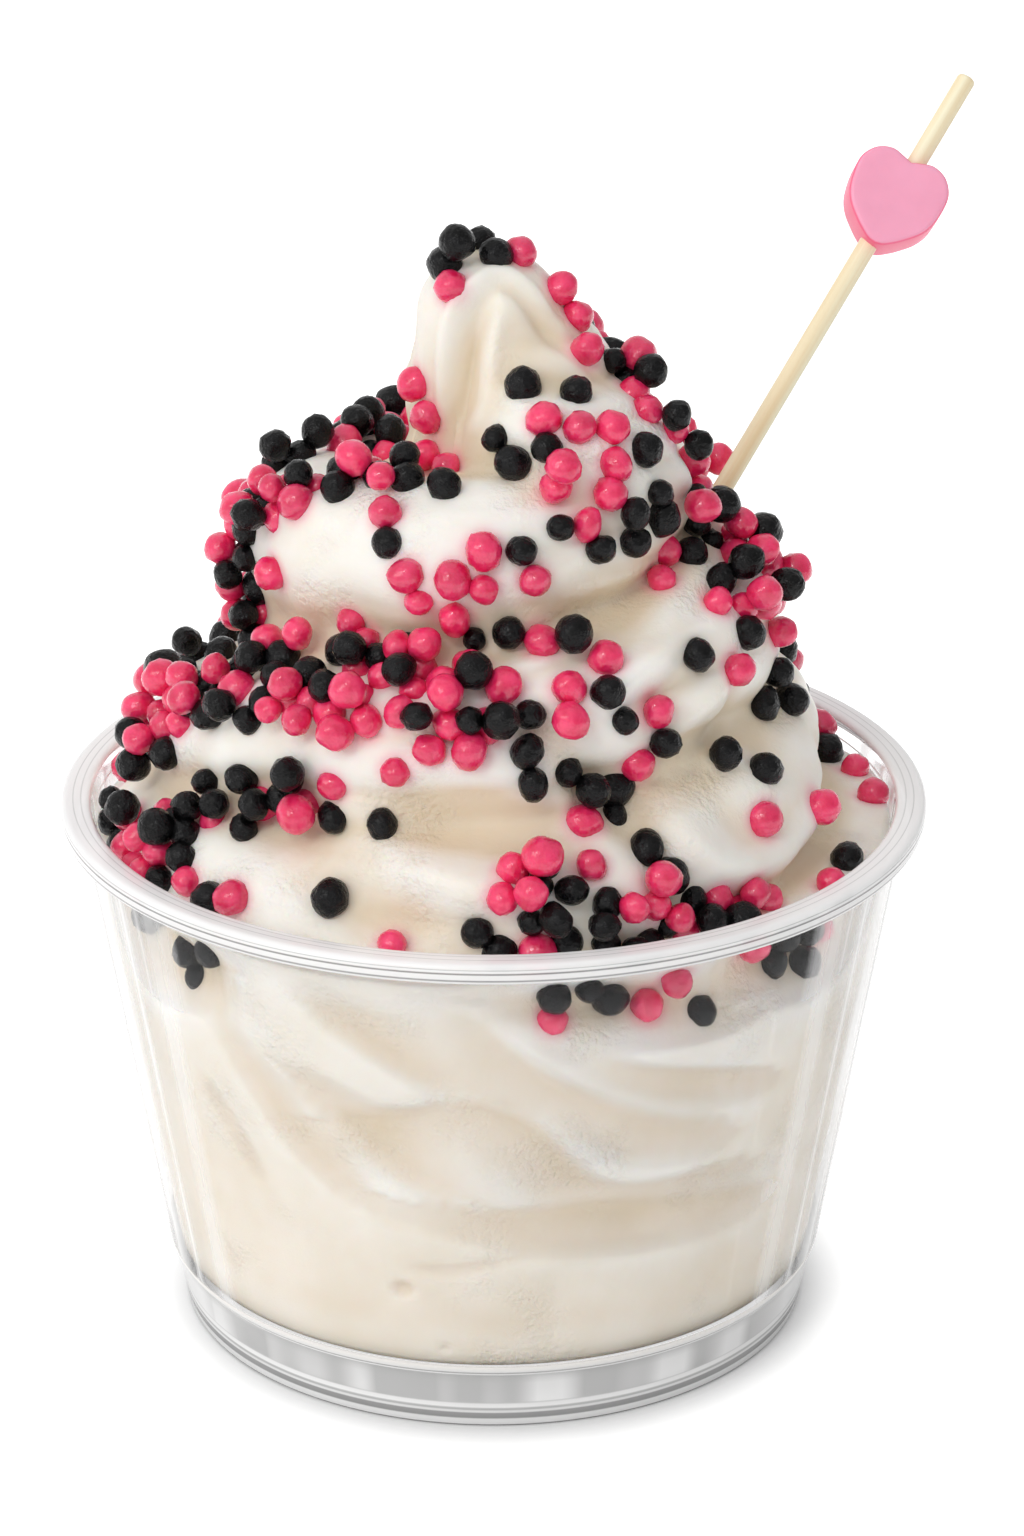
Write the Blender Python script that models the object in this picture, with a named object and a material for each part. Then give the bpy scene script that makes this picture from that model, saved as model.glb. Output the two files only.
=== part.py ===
"""A clear dessert cup of soft serve, dusted with sugar pearls, with a heart on a pick.

Sizes are in millimetres and become metres as each mesh is made. Everything is made round
the cup's axis, which is Z, and stands on the floor. An azimuth is an angle in degrees
round that axis: 0 is the front, -Y, and it grows towards +X. At the end the whole moves
along X, so that the origin is under the middle of the part with its leaning pick.
"""

import math

import bmesh
import bpy
import numpy as np
from mathutils import Matrix, Vector

MM = 0.001
GAP = 0.3                      # between pieces that touch
CUP_AXIS_X = -2.76             # half of what the pick reaches beyond the lip

# Cup: a straight tapered wall with a rolled lip and a stacking ledge, whose floor sits
# level with the ledge on a hollow foot ring.
CUP_SIDES = 48
LIP_RADIUS = 49.0
LIP_INNER_RADIUS = 45.6
LIP_TOP = 62.4
LIP_BOTTOM = 60.0
LIP_ROUND = 0.6
WALL_TOP_RADIUS = 46.8         # outside, just under the lip
WALL_LEDGE_RADIUS = 38.0       # outside, just above the stacking ledge
WALL = 1.5
LEDGE = 7.9
LEDGE_STEP = 0.8
FLOOR_THICKNESS = 1.4
FOOT_TOP_RADIUS = 37.2
FOOT_RADIUS = 36.1
FOOT_WALL = 1.3
FOOT_BEAD = 0.6                # what the ring's bottom edge adds inside
FOOT_BEAD_HEIGHT = 2.2

# Soft serve. A rope's rows give azimuth, middle height, how far its skin reaches from
# the cup's axis, and half its thickness. The helix climbs one turn in 360 degrees.
HELIX = (
    (-990, 50, 44, 9), (-900, 53, 44, 9), (-810, 57, 43.5, 9), (-720, 60, 41.5, 11),
    (-630, 67.5, 36.8, 10.5), (-540, 69, 36.5, 9.2), (-450, 67, 39, 8.5), (-405, 75.5, 34.8, 10),
    (-360, 78.5, 33.8, 10), (-315, 82, 32.5, 9.8), (-270, 83.5, 32.2, 13),
    (-225, 87.5, 31, 10.5), (-180, 90, 29.7, 9), (-135, 90.3, 28.3, 9), (-90, 91.8, 27.6, 9.4),
    (-45, 94.5, 26.3, 9), (0, 96, 25.8, 9), (36, 98, 23.6, 7.5), (60, 98.5, 22.6, 6.5),
    (90, 98.5, 22.3, 6.5), (180, 102, 16, 6), (270, 105, 7, 5),
)
TOP_FOLD = (
    (-30, 105, 8, 3), (0, 106, 14, 6), (20, 105.5, 20.5, 7), (45, 104.5, 22.6, 7.6),
    (70, 103, 21.4, 7.6), (100, 103, 19.4, 7), (150, 105, 17.5, 7.5), (200, 107, 15, 7),
    (250, 109, 10, 5), (300, 110, 7, 4),
)
SHOULDER = (
    (-10, 111.5, 7, 4), (25, 111.5, 10.5, 6), (60, 111, 12.6, 7), (100, 111, 12.4, 7),
    (150, 112, 12, 7), (200, 112, 10, 6), (260, 111, 7, 4),
)
NECK = (
    (-20, 107, 8, 5), (10, 107.5, 13, 6.2), (45, 107.5, 15.7, 6.7), (90, 107, 15.8, 6.5),
    (140, 107.5, 13, 6.5), (180, 107, 9, 5),
)
ROPES = (HELIX, TOP_FOLD, SHOULDER, NECK)
BLEND = 1.0                    # how softly one rope runs into the next
RIDGES = 9                     # left round the rope by the nozzle
RIDGE_TWIST = 0.5
RIDGE_DEPTH = (                # azimuth along the helix, depth as a share of half its thickness
    (-990, 0.03), (-540, 0.04), (-360, 0.08), (-220, 0.06), (-120, 0.015), (0, 0.04),
    (90, 0.12), (180, 0.12), (300, 0.08),
)
PEAK_RADIUS = 8.3
PEAK_FOOT = 96.0
PEAK_TAPER, PEAK_TAPER_FROM = 0.08, 112.0
PEAK_BALL = 118.1              # middle of its round end
PEAK_OFFSET = -0.15            # along X
CORE = ((34, 57), (30, 74), (24.5, 87), (14, 98), (2.5, 110))     # bulging outline, foot to tip
FILL_LEVEL = 58.5              # of the soft serve between the swirl and the wall, at
FILL_RADIUS, FILL_SLOPE = 40, 0.12     # this radius; it falls away outwards
FILL_BLEND = 0.8
BANK_RISE = 2.0                # it stands higher on the right
BANK_AZIMUTH, BANK_SPREAD = 95, 35
CREAM_FLOOR = LEDGE + GAP
CREAM_COLUMNS, CREAM_ROWS = 240, 170
CREAM_TRIANGLES = 3700

# The skin is found by looking in from outside along rays that aim at this outline of
# radius and height. They slope up and away by the tilt, which turns upright at the tip.
AIM = (
    (36.2, CREAM_FLOOR), (44.6, 57), (37, 66), (33, 85), (26, 99), (12, 112), (7.5, 122), (0, 126),
)
AIM_WALL_TOP = 56.0
TILT_LOW, TILT_HIGH = 20, 90
TILT_FROM, TILT_TO = 116, 126
RAY_START = 52.0
RAY_STEPS = 70
RAY_HALVINGS = 9

# Folds: half width above and below, rise (below 0 a crease), then azimuth and height
# along it, from left to right
SWIRL_FOLDS = {
    "crest of the big fold": (1.6, 1.6, 0.9, ((-75, 96.4), (-59, 99.9), (-48, 102), (-29, 103), (-12, 104))),
    "rib under the top fold": (1.5, 1.5, 1.0, ((17, 94), (32, 94), (50, 94.5))),
    "furrow under that rib": (2.2, 2.2, -1.2, ((24, 90), (37, 91), (48, 92.5))),
    "upper front rib": (1.2, 1.2, 0.7, ((-4, 89.3), (7, 90.3), (16, 91.2))),
    "front furrow": (1.2, 1.2, -0.8, ((-3, 88), (7, 88.9), (17, 89.6))),
    "lower front rib": (1.2, 1.2, 0.8, ((0, 86.7), (6, 87.6), (12, 88.1))),
    "right rib": (2.2, 2.2, 1.4, ((20, 83.5), (28, 86.2), (35, 88), (45, 90))),
    "right furrow": (2.2, 2.2, -1.0, ((28, 81.5), (36, 84), (45, 86.5), (54, 88))),
    "low right rib": (2.0, 2.0, 1.3, ((37, 77.3), (41, 79.9), (46, 82), (54, 84))),
    "low right furrow": (1.6, 1.6, -1.0, ((44, 75), (50, 77), (54, 80), (52, 84))),
    "torn edge": (1.3, 1.3, 1.3, ((34, 75.5), (44, 75), (54, 74))),
    "right lobe": (2.4, 2.4, 1.5, ((34, 71), (34, 69), (37, 66.3), (44, 63.8), (55, 63), (67, 65), (74, 68))),
    "hollow in the lobe": (3.0, 3.0, -1.3, ((42, 71), (47, 68.5), (60, 68))),
    "front rib": (2.8, 2.8, 1.6, ((-32, 73), (-24, 70.5), (-13, 68.5), (-2, 67.2), (8, 66))),
    "front hollow": (2.6, 2.6, -0.8, ((-19, 76), (-10, 72.5), (0, 70.5), (10, 69.3), (17, 69))),
    "rib over the hollow": (2.6, 2.6, 1.2, ((-15, 78.9), (-2, 77.8), (9, 75), (19, 71.5))),
    "low front hollow": (4.0, 4.0, -2.3, ((-36, 67), (-22, 64.6), (-11, 63), (0, 62.5))),
    "low front rib": (2.6, 2.6, 1.0, ((-42, 64.5), (-30, 62.6), (-21, 60), (-12, 58))),
    "seam down the front": (3.0, 3.0, -2.2, ((7, 84.7), (15, 79), (22, 74), (26, 70), (29, 65), (33, 60))),
    "edge of the top fold": (1.6, 1.6, 0.8, ((66, 108), (65, 103.6), (76, 96))),
    "trough in the peak": (1.5, 1.5, -1.7, (
        (-24, 107.7), (-20, 112), (-17, 116.4), (-12, 119.5), (-5, 121.4),
    )),
    "rib by the trough": (1.2, 1.2, 0.6, ((-18, 107), (-7, 110.2), (-3, 114.2), (0, 118.1), (6, 120.8))),
    "arch of the peak": (1.0, 1.0, 0.7, (
        (-40, 107.4), (-40, 112.5), (-39, 118), (-35, 121.2), (-22, 123.1), (0, 124.1), (25, 123.8),
        (43, 122.5), (52, 120.4), (60, 117.5),
    )),
    "groove in the arch": (1.1, 1.1, -0.9, (
        (-26, 107), (-24, 113), (-22, 118), (-17, 121), (-4, 122.8), (12, 123.2), (26, 122.5), (35, 121),
        (42, 118.5), (51, 115.5), (61, 111.8),
    )),
    "groove left of the arch": (0.9, 0.9, -0.4, (
        (-50, 107.6), (-51, 113.3), (-50, 119), (-45, 121.8), (-35, 123.3),
    )),
}
WALL_FOLDS = {
    "upper left": (5.0, 1.8, -1.3, ((-27, 53.5), (-17.5, 49.8), (-11, 46.9), (-2, 43.5))),
    "under the long ridge": (
        1.7, 5.0, -1.6, ((-11, 57), (-3, 52.3), (2.5, 48), (8, 44.5), (16, 41), (25, 37.7), (40, 35)),
    ),
    "under the wave": (1.5, 5.5, -1.6, (
        (-25, 38.5), (-14, 40.2), (-6, 41.8), (1, 40.9), (7, 38), (10.5, 34.4), (15, 31), (24, 29.2),
        (48, 29.8),
    )),
    "above the sweep": (5.0, 1.8, -1.2, ((-29, 42.5), (-20, 37.8), (-14, 34), (-5, 30.6))),
    "under the sweep": (1.5, 5.0, -1.1, (
        (-13, 29.5), (1, 27.6), (10.6, 27.5), (20, 27.4), (35, 25.6), (56, 23.6),
    )),
    "low": (0.9, 2.4, -0.5, ((-17, 21.8), (-8, 21.2), (1, 22.4))),
    "low crest": (1.2, 1.6, 0.3, ((-36, 21.4), (-15, 23), (1, 23.4))),
    "left": (4.6, 2.6, -0.9, ((-45, 48.5), (-37, 41), (-30.6, 35.3), (-20, 28))),
    "far left": (3.2, 2.0, -0.6, ((-52, 40), (-44, 33.5), (-38, 26))),
    "upper right": (1.5, 4.0, -1.2, ((12, 49), (23, 44.7), (32, 43.2), (50, 39.8))),
    "pit": (1.2, 1.2, -0.8, ((-15.6, 18), (-14.4, 18))),
    "small pit": (0.8, 0.8, -0.6, ((-8.7, 10.5), (-7.9, 10.5))),
    "front pocket": (5.2, 3.4, -4.3, ((0, 55), (9, 53.8), (18, 53.8), (26, 53), (38, 51.5))),
    "left pocket": (5.2, 3.6, -4.3, ((-80, 54.5), (-68, 51.5), (-58, 50.8), (-43, 53.5))),
    "right pocket": (5.2, 3.4, -4.3, ((36, 56.5), (46, 54), (56, 52.5), (68, 54))),
}
FOLD_STEPS = 5                 # between two of a fold's points
FOLD_SMOOTHING = 6

# Sugar pearls. A string has one at each spot of azimuth and height, pink or black by its
# letter.
PEARL_STRINGS = {
    "tip": ("bbbbpp", ((-150, 124.9), (-72, 123.5), (-50, 124.4), (10, 125.1), (80, 124.6), (-42, 122.2))),
    "right edge of the peak": ("pppb", ((84, 120.9), (83, 117.9), (60, 115.8), (76, 113.3))),
    "front of the peak": ("bbpbpp", (
        (16, 113.3), (36, 112.6), (19, 111.3), (18, 109.2), (28, 110.6), (38, 110),
    )),
    "on the top fold": ("ppppp", ((22, 107), (36, 107), (19, 104.8), (33, 104.4), (25, 101.3))),
    "seam of the top fold": ("bbbbbbbb", (
        (3, 108.6), (8.5, 106.6), (13.5, 103.6), (17.5, 101.1), (28, 98.5), (39, 98.2), (37, 101.9),
        (50, 102.8),
    )),
    "end of that seam": ("bbpp", ((47, 107.4), (51, 99.6), (57, 95.2), (51, 92.4))),
    "left of the peak": ("pppbb", ((-68, 111), (-54, 107.9), (-49, 103.8), (-15, 104.5), (-29, 104.2))),
    "on the big fold": ("pbpppb", ((-29, 102), (-26, 99.4), (-20, 96.8), (-9, 96.8), (-2, 99.6), (7, 99.5))),
    "low on the big fold": ("ppppp", ((-2, 95.9), (10, 96.3), (-17, 93.8), (-9, 92), (-62, 92.8))),
    "middle": ("bpbpppbb", (
        (4, 90.4), (12, 89), (18, 88.5), (24, 87.7), (15, 86.2), (15, 83.3), (7, 83.2), (6, 80),
    )),
    "right seam": ("bbpbpp", ((22, 85.8), (25, 82.2), (33, 82), (34, 78.7), (29, 76.6), (28, 73.8))),
    "right flank": ("bbpppp", ((45, 86.6), (60, 86.8), (57, 90.2), (69, 88.5), (76, 83.8), (54, 84))),
    "low on that flank": ("bbbbbpp", (
        (75, 79.6), (69, 76.7), (79, 74.8), (49, 74.9), (56, 72.3), (52, 67.8), (67, 66.1),
    )),
    "right rim": ("pbbp", ((84, 59.9), (77, 59.7), (69, 59.4), (61, 58.9))),
    "on the front": ("pppbbp", ((-11, 80.4), (-4, 80.4), (-17, 77.8), (-20, 71), (-26, 64), (-15, 60.4))),
    "front seam": ("bbbbpbpbb", (
        (7, 76.9), (14, 77), (16, 74.2), (25, 73.8), (17, 71.8), (24, 71), (16, 68.5), (27, 68.6), (30, 66),
    )),
    "in the front pocket": ("bpbpbp", ((9, 55.5), (9, 51.9), (18, 54), (24, 52.6), (33, 50.4), (28, 55.2))),
    "in the left pocket": ("bbbbb", ((-71, 52.2), (-54, 53.2), (-47, 55), (-62, 47.8), (-53, 49.6))),
    "in the right pocket": ("bbpp", ((49, 52.3), (56, 50.7), (43, 56.3), (61, 53.5))),
}
# A trail scatters them: half width, how many, the share that is pink, and its route
PEARL_TRAILS = {
    "right of the peak": (1.6, 8, 0.6, ((84, 113), (72, 111.5), (60, 109.5), (66, 107))),
    "right shoulder": (2.4, 24, 0.5, ((72, 102), (75, 98.5), (80, 95), (80, 92.5), (80, 90))),
    "right flank": (1.8, 5, 0.6, ((62, 93), (68, 90.5), (64, 88))),
    "right rim": (0.9, 5, 0.6, ((96, 59.9), (88, 59.9), (66, 59), (57, 58.6))),
    "front right rim": (0.9, 9, 0.5, ((51, 58.8), (45, 60), (38, 61.5), (30, 62))),
    "foot of the front": (2.6, 26, 0.45, (
        (1, 67.2), (6, 67.9), (10, 66), (18, 64.6), (26, 63.6), (34, 60.5),
    )),
    "edge of the front": (0.9, 9, 0.4, (
        (-2, 62.8), (1, 60.5), (10, 60.4), (16, 60.3), (23, 59.7), (30, 59.4),
    )),
    "under the big fold": (1.6, 9, 0.3, ((-9, 81.6), (-4, 82.8), (1, 83.6), (3, 85.4))),
    "groove on the left": (2.5, 22, 0.5, ((-50, 86), (-35, 87), (-25, 87), (-14, 87), (-6, 86.6))),
    "below that groove": (2.7, 24, 0.4, ((-53, 81.8), (-34, 81.8), (-20, 83.6), (-12, 84.8))),
    "left column": (2.2, 34, 0.45, ((-84, 97), (-82, 92), (-86, 87), (-80, 82), (-62, 83), (-58, 80))),
    "upper left flank": (3.4, 26, 0.45, ((-56, 79), (-72, 76.5), (-84, 73), (-80, 69))),
    "lower left flank": (
        3.6, 30, 0.45, ((-84, 62), (-70, 62.5), (-58, 65), (-54, 68), (-40, 72.8), (-29, 73)),
    ),
    "left rim": (1.1, 13, 0.6, ((-72, 59.4), (-58, 60.5), (-46, 62.5), (-39, 61.4), (-50, 60))),
    "back of the shelf": (2.0, 18, 0.5, ((-94, 99.4), (-117, 99.2), (-139, 99), (-151, 99))),
    "front of the shelf": (1.8, 24, 0.5, ((-78, 97), (-66, 99.5), (-52, 103), (-40, 103.6), (-31, 104.1))),
    "above the pockets": (0.8, 7, 0.5, ((-72, 55.5), (-62, 54.5), (38, 56), (52, 55.5), (64, 56))),
    "back shoulder": (3.0, 34, 0.5, ((95, 97), (140, 97), (180, 96), (220, 95), (255, 93))),
    "back of the top": (2.4, 18, 0.5, ((100, 112), (150, 111), (200, 109))),
    "back groove": (3.0, 42, 0.5, ((105, 81), (150, 82), (200, 83), (255, 82))),
    "back flank": (4.0, 40, 0.5, ((105, 70), (150, 71), (200, 72), (260, 72))),
    "back rim": (2.2, 30, 0.5, ((100, 60), (140, 60.5), (180, 60.5), (220, 60), (262, 59))),
}
PEARL_SEED = 11
PEARL_TRIES = 8
PEARL_MEAN, PEARL_SPREAD = 1.84, 0.16      # radius
PEARL_SMALL, PEARL_LARGE = 1.4, 2.25
PEARL_LIFTS = 0.3, 1.45, -0.2      # from the skin, in radii: on it, on other pearls, or sunk in
PEARL_CROWDING = 0.84          # centres stay this share of two radii apart
SOLID_PEARLS = 150             # the largest, each as a plain bead
SOLID_CLEARANCE = 1.12         # the same share, between beads
BEAD_OVERSIZE = 1.07           # makes up for a bead's flat sides

# Pick and heart
PICK_DIAMETER = 2.2
PICK_SIDES = 12
PICK_ENTRY = Vector((25.46, 4.0, 96.38))   # a point of its axis at the swirl's shoulder
PICK_LEAN = Vector((0.713, 0.700, 1.0)).normalized()
PICK_SUNK = 32.0
PICK_SHOWN = 56.3
HEART_HALF = (                 # right half of its edge about its middle, notch to tip
    (0, 5.15), (1.0, 5.5), (2.5, 5.85), (4.1, 5.3), (5.2, 4.0), (5.55, 2.4), (5.25, -0.3),
    (4.4, -2.1), (2.95, -3.6), (1.85, -4.5), (0.9, -5.1), (0, -5.3),
)
HEART_FROM_ENTRY = 38.35       # its middle, along the pick
HEART_THICKNESS = 5.2
HEART_EDGE = 0.35
HEART_TURN = 6.0               # degrees about its own thickness
FACES_TOWARDS = Vector((-0.08, -0.96, 0.27))


def material(name, colour, roughness, alpha=1.0):
    """A plain Principled material."""
    made = bpy.data.materials.new(name)
    made.use_nodes = True
    shader = made.node_tree.nodes["Principled BSDF"]
    shader.inputs["Base Color"].default_value = (*colour, 1.0)
    shader.inputs["Roughness"].default_value = roughness
    shader.inputs["Alpha"].default_value = alpha
    return made


def add_object(name, mesh, coat=None):
    """Link a mesh to the scene as an object of that name."""
    made = bpy.data.objects.new(name, mesh)
    bpy.context.scene.collection.objects.link(made)
    if coat:
        mesh.materials.append(coat)
        mesh.shade_smooth()
        mesh.set_sharp_from_angle(angle=math.radians(40))
    return made


def mesh_from(name, points, faces):
    """A mesh of points in millimetres."""
    made = bpy.data.meshes.new(name)
    made.from_pydata([tuple(c * MM for c in point) for point in points], [], faces)
    made.validate()
    return made


def turned_mesh(name, profile, sides):
    """Turn a profile of (radius, height), which starts and ends on the axis, about Z."""
    inner = profile[1:-1]
    points = [(0, 0, profile[0][1]), (0, 0, profile[-1][1])]
    for radius, height in inner:
        for side in range(sides):
            turn = 2 * math.pi * side / sides
            points.append((radius * math.cos(turn), radius * math.sin(turn), height))
    faces = []
    last = 2 + (len(inner) - 1) * sides
    for side in range(sides):
        after = (side + 1) % sides
        faces.append((0, 2 + after, 2 + side))
        for ring in range(len(inner) - 1):
            low, high = 2 + ring * sides, 2 + (ring + 1) * sides
            faces.append((low + side, low + after, high + after, high + side))
        faces.append((1, last + side, last + after))
    return mesh_from(name, points, faces)


def wall_inside(height):
    """Radius of the cup's inner wall at a height."""
    taper = (WALL_TOP_RADIUS - WALL_LEDGE_RADIUS) / (LIP_BOTTOM - LEDGE)
    return WALL_LEDGE_RADIUS - WALL + taper * (height - LEDGE)


def cup():
    """The clear cup, from the middle of the floor's underside round to its top."""
    floor_under = LEDGE - FLOOR_THICKNESS
    foot_inside = FOOT_TOP_RADIUS - FOOT_WALL
    profile = (
        (0, floor_under),
        (foot_inside - LEDGE_STEP, floor_under),
        (foot_inside, floor_under - LEDGE_STEP),
        (FOOT_RADIUS - FOOT_WALL, FOOT_BEAD_HEIGHT),
        (FOOT_RADIUS - FOOT_WALL - FOOT_BEAD, FOOT_BEAD_HEIGHT - FOOT_BEAD),
        (FOOT_RADIUS - FOOT_WALL - FOOT_BEAD, 0),
        (FOOT_RADIUS - 0.3, 0),
        (FOOT_RADIUS, 0.3),
        (FOOT_TOP_RADIUS, LEDGE - LEDGE_STEP),
        (WALL_LEDGE_RADIUS, LEDGE),
        (WALL_TOP_RADIUS, LIP_BOTTOM),
        (LIP_RADIUS - LIP_ROUND, LIP_BOTTOM),
        (LIP_RADIUS, LIP_BOTTOM + LIP_ROUND),
        (LIP_RADIUS, LIP_TOP - LIP_ROUND),
        (LIP_RADIUS - LIP_ROUND, LIP_TOP),
        (LIP_INNER_RADIUS + LIP_ROUND, LIP_TOP),
        (LIP_INNER_RADIUS, LIP_TOP - LIP_ROUND),
        (wall_inside(LIP_BOTTOM), LIP_BOTTOM),
        (wall_inside(LEDGE), LEDGE),
        (0, LEDGE),
    )
    clear = material("clear_plastic", (0.93, 0.95, 0.96), 0.08, alpha=0.3)
    return add_object("cup", turned_mesh("cup", profile, CUP_SIDES), clear)


def smooth_curve(at, knots, values):
    """A smooth curve through knots and their values, read at the given places."""
    knots, values = np.asarray(knots, float), np.asarray(values, float)
    slopes = np.gradient(values, knots)
    i = np.clip(np.searchsorted(knots, at) - 1, 0, len(knots) - 2)
    span = knots[i + 1] - knots[i]
    t = np.clip((at - knots[i]) / span, 0.0, 1.0)
    start = values[i] * (1 + 2 * t) + slopes[i] * span * t
    end = values[i + 1] * (3 - 2 * t) + slopes[i + 1] * span * (t - 1)
    return start * (1 - t) ** 2 + end * t**2


def rope_sections(azimuths):
    """Each rope where it crosses the half plane of each azimuth, lap by lap."""
    sections = []
    for rope in ROPES:
        knots, middles, reaches, halves = np.array(rope, float).T
        for lap in range(-3, 2):
            along = azimuths + 360 * lap
            laid = (along >= knots[0]) & (along <= knots[-1])
            if laid.any():
                half = smooth_curve(along, knots, halves)
                centre = smooth_curve(along, knots, reaches) - half
                middle = smooth_curve(along, knots, middles)
                depth = smooth_curve(along, *np.array(RIDGE_DEPTH, float).T)
                sections.append((centre, middle, np.where(laid, half, -50.0), depth, along))
    return sections


def outside_by(sections, azimuth, radius, height):
    """How far points lie outside the soft serve, less than 0 inside it."""
    bank = BANK_RISE * np.exp(-(((np.degrees(azimuth) - BANK_AZIMUTH) / BANK_SPREAD) ** 2))
    fill = FILL_LEVEL + bank - FILL_SLOPE * (radius - FILL_RADIUS)
    pull = np.exp(-(height - fill) / FILL_BLEND)
    core = np.full(azimuth.shape, -np.inf)
    for low, high in zip(CORE, CORE[1:]):
        run, rise = high[0] - low[0], high[1] - low[1]
        beyond = (radius - low[0]) * rise - (height - low[1]) * run
        core = np.maximum(core, beyond / math.hypot(run, rise))
    pull = pull + np.exp(-core / BLEND)
    side = radius * np.sin(azimuth) - PEAK_OFFSET
    front = radius * np.cos(azimuth)
    above = height - np.clip(height, PEAK_FOOT, PEAK_BALL)
    peak = PEAK_RADIUS - PEAK_TAPER * np.maximum(height - PEAK_TAPER_FROM, 0)
    pull = pull + np.exp(-(np.sqrt(side**2 + front**2 + above**2) - peak) / BLEND)
    for centre, middle, half, depth, along in sections:
        across, up = radius - centre, height - middle
        lobes = np.abs(np.cos(np.arctan2(up, across) * RIDGES / 2 + np.radians(along) * RIDGE_TWIST))
        skin = half * (1 + depth * (lobes - 0.6))
        pull = pull + np.exp(-(np.hypot(across, up) - skin) / BLEND)
    return np.maximum(-BLEND * np.log(pull), radius - wall_inside(height))


def look_in(azimuth, aim_radius, aim_height, tilt):
    """Where rays that come in from outside meet the soft serve: radius and height."""
    sections = rope_sections(np.degrees(azimuth[0]))
    out, up = np.cos(tilt), np.sin(tilt)
    root = aim_height - aim_radius * up / out
    start = RAY_START / np.maximum(out, 0.35)
    inside, outside = np.zeros(azimuth.shape), start.copy()
    found = np.zeros(azimuth.shape, bool)
    before = start
    for step in range(1, RAY_STEPS + 1):
        now = start * (1 - step / RAY_STEPS)
        met = (outside_by(sections, azimuth, now * out, root + now * up) < 0) & ~found
        inside, outside = np.where(met, now, inside), np.where(met, before, outside)
        found |= met
        before = now
    for _ in range(RAY_HALVINGS):
        middle = (inside + outside) / 2
        under = outside_by(sections, azimuth, middle * out, root + middle * up) < 0
        inside, outside = np.where(under, middle, inside), np.where(under, outside, middle)
    return inside * out, root + inside * up


def raise_folds(azimuth, radius, height, folds, out, up):
    """Push the skin out along ridges and in along creases, which fade at their ends."""
    sine, cosine = np.sin(azimuth), np.cos(azimuth)
    x, y = radius * sine, -radius * cosine
    push = np.zeros(azimuth.shape)
    columns = azimuth.shape[1]
    for above, below, lift, points in folds.values():
        knots = np.arange(len(points))
        fine = np.linspace(0, len(points) - 1, (len(points) - 1) * FOLD_STEPS + 1)
        turns, heights = (smooth_curve(fine, knots, values) for values in zip(*points))
        on = np.round((turns / 360 + 0.5) * columns).astype(int) % columns
        rows = np.argmin(np.abs(height[:, on] - heights), axis=0)
        line = np.stack((x[rows, on], y[rows, on], height[rows, on]), axis=1)
        for _ in range(FOLD_SMOOTHING):
            line[1:-1] = (line[:-2] + 2 * line[1:-1] + line[2:]) / 4
        strength = np.sin(np.pi * (np.arange(len(line) - 1) + 0.5) / (len(line) - 1)) ** 0.5
        most = np.zeros(azimuth.shape)
        for start, end, share in zip(line[:-1], line[1:], strength):
            run = end - start
            dx, dy, dz = x - start[0], y - start[1], height - start[2]
            t = np.clip((dx * run[0] + dy * run[1] + dz * run[2]) / max(run @ run, 1e-9), 0, 1)
            away = (dx - t * run[0]) ** 2 + (dy - t * run[1]) ** 2 + (dz - t * run[2]) ** 2
            side = dz * (sine * run[1] + cosine * run[0]) - (dx * cosine + dy * sine) * run[2]
            most = np.maximum(most, share * np.exp(-away / np.where(side > 0, above, below) ** 2))
        push += lift * most
    return radius + push * out, height + push * up


def cream_skin(columns, rows):
    """A grid of the skin: azimuth in radians, radius and height, from floor to tip."""
    aim = np.array(AIM, float)
    lengths = np.concatenate(([0], np.cumsum(np.hypot(*np.diff(aim, axis=0).T))))
    along = np.linspace(0, lengths[-1], rows)
    aim_radius = np.interp(along, lengths, aim[:, 0])
    aim_height = np.interp(along, lengths, aim[:, 1])
    turns = np.linspace(-math.pi, math.pi, columns, endpoint=False)
    azimuth, aim_radius = np.meshgrid(turns, aim_radius)
    aim_height = np.repeat(aim_height[:, None], columns, axis=1)
    rise = np.clip((aim_height - TILT_FROM) / (TILT_TO - TILT_FROM), 0, 1) ** 1.5
    tilt = np.radians(TILT_LOW + (TILT_HIGH - TILT_LOW) * rise)
    radius, height = wall_inside(aim_height), aim_height.copy()
    free = slice(int(np.argmax(aim_height[:, 0] >= AIM_WALL_TOP)), None)
    radius[free], height[free] = look_in(azimuth[free], aim_radius[free], aim_height[free], tilt[free])
    tilt = np.where(aim_height >= AIM_WALL_TOP, tilt, 0.0)
    radius, height = raise_folds(azimuth, radius, height, SWIRL_FOLDS, np.cos(tilt), np.sin(tilt))
    radius, height = raise_folds(azimuth, radius, height, WALL_FOLDS, 1.0, 0.0)
    return azimuth, np.clip(radius, 0.0, wall_inside(height) - GAP), height


def skin_points(skin):
    """The grid's points, rows by columns by three."""
    azimuth, radius, height = skin
    return np.stack((radius * np.sin(azimuth), -radius * np.cos(azimuth), height), axis=2)


def cream_mesh(skin):
    """The soft serve as a closed mesh, without its pearls."""
    points = skin_points(skin)
    rows, columns = points.shape[:2]
    faces = [tuple(range(columns - 1, -1, -1))]
    for row in range(rows - 1):
        low, high = row * columns, (row + 1) * columns
        for column in range(columns):
            after = (column + 1) % columns
            faces.append((low + column, low + after, high + after, high + column))
    tip = rows * columns
    top = (rows - 1) * columns
    faces += [(top + column, top + (column + 1) % columns, tip) for column in range(columns)]
    everything = np.vstack((points.reshape(-1, 3), points[-1].mean(axis=0)))
    return mesh_from("soft_serve", everything.tolist(), faces)


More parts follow.
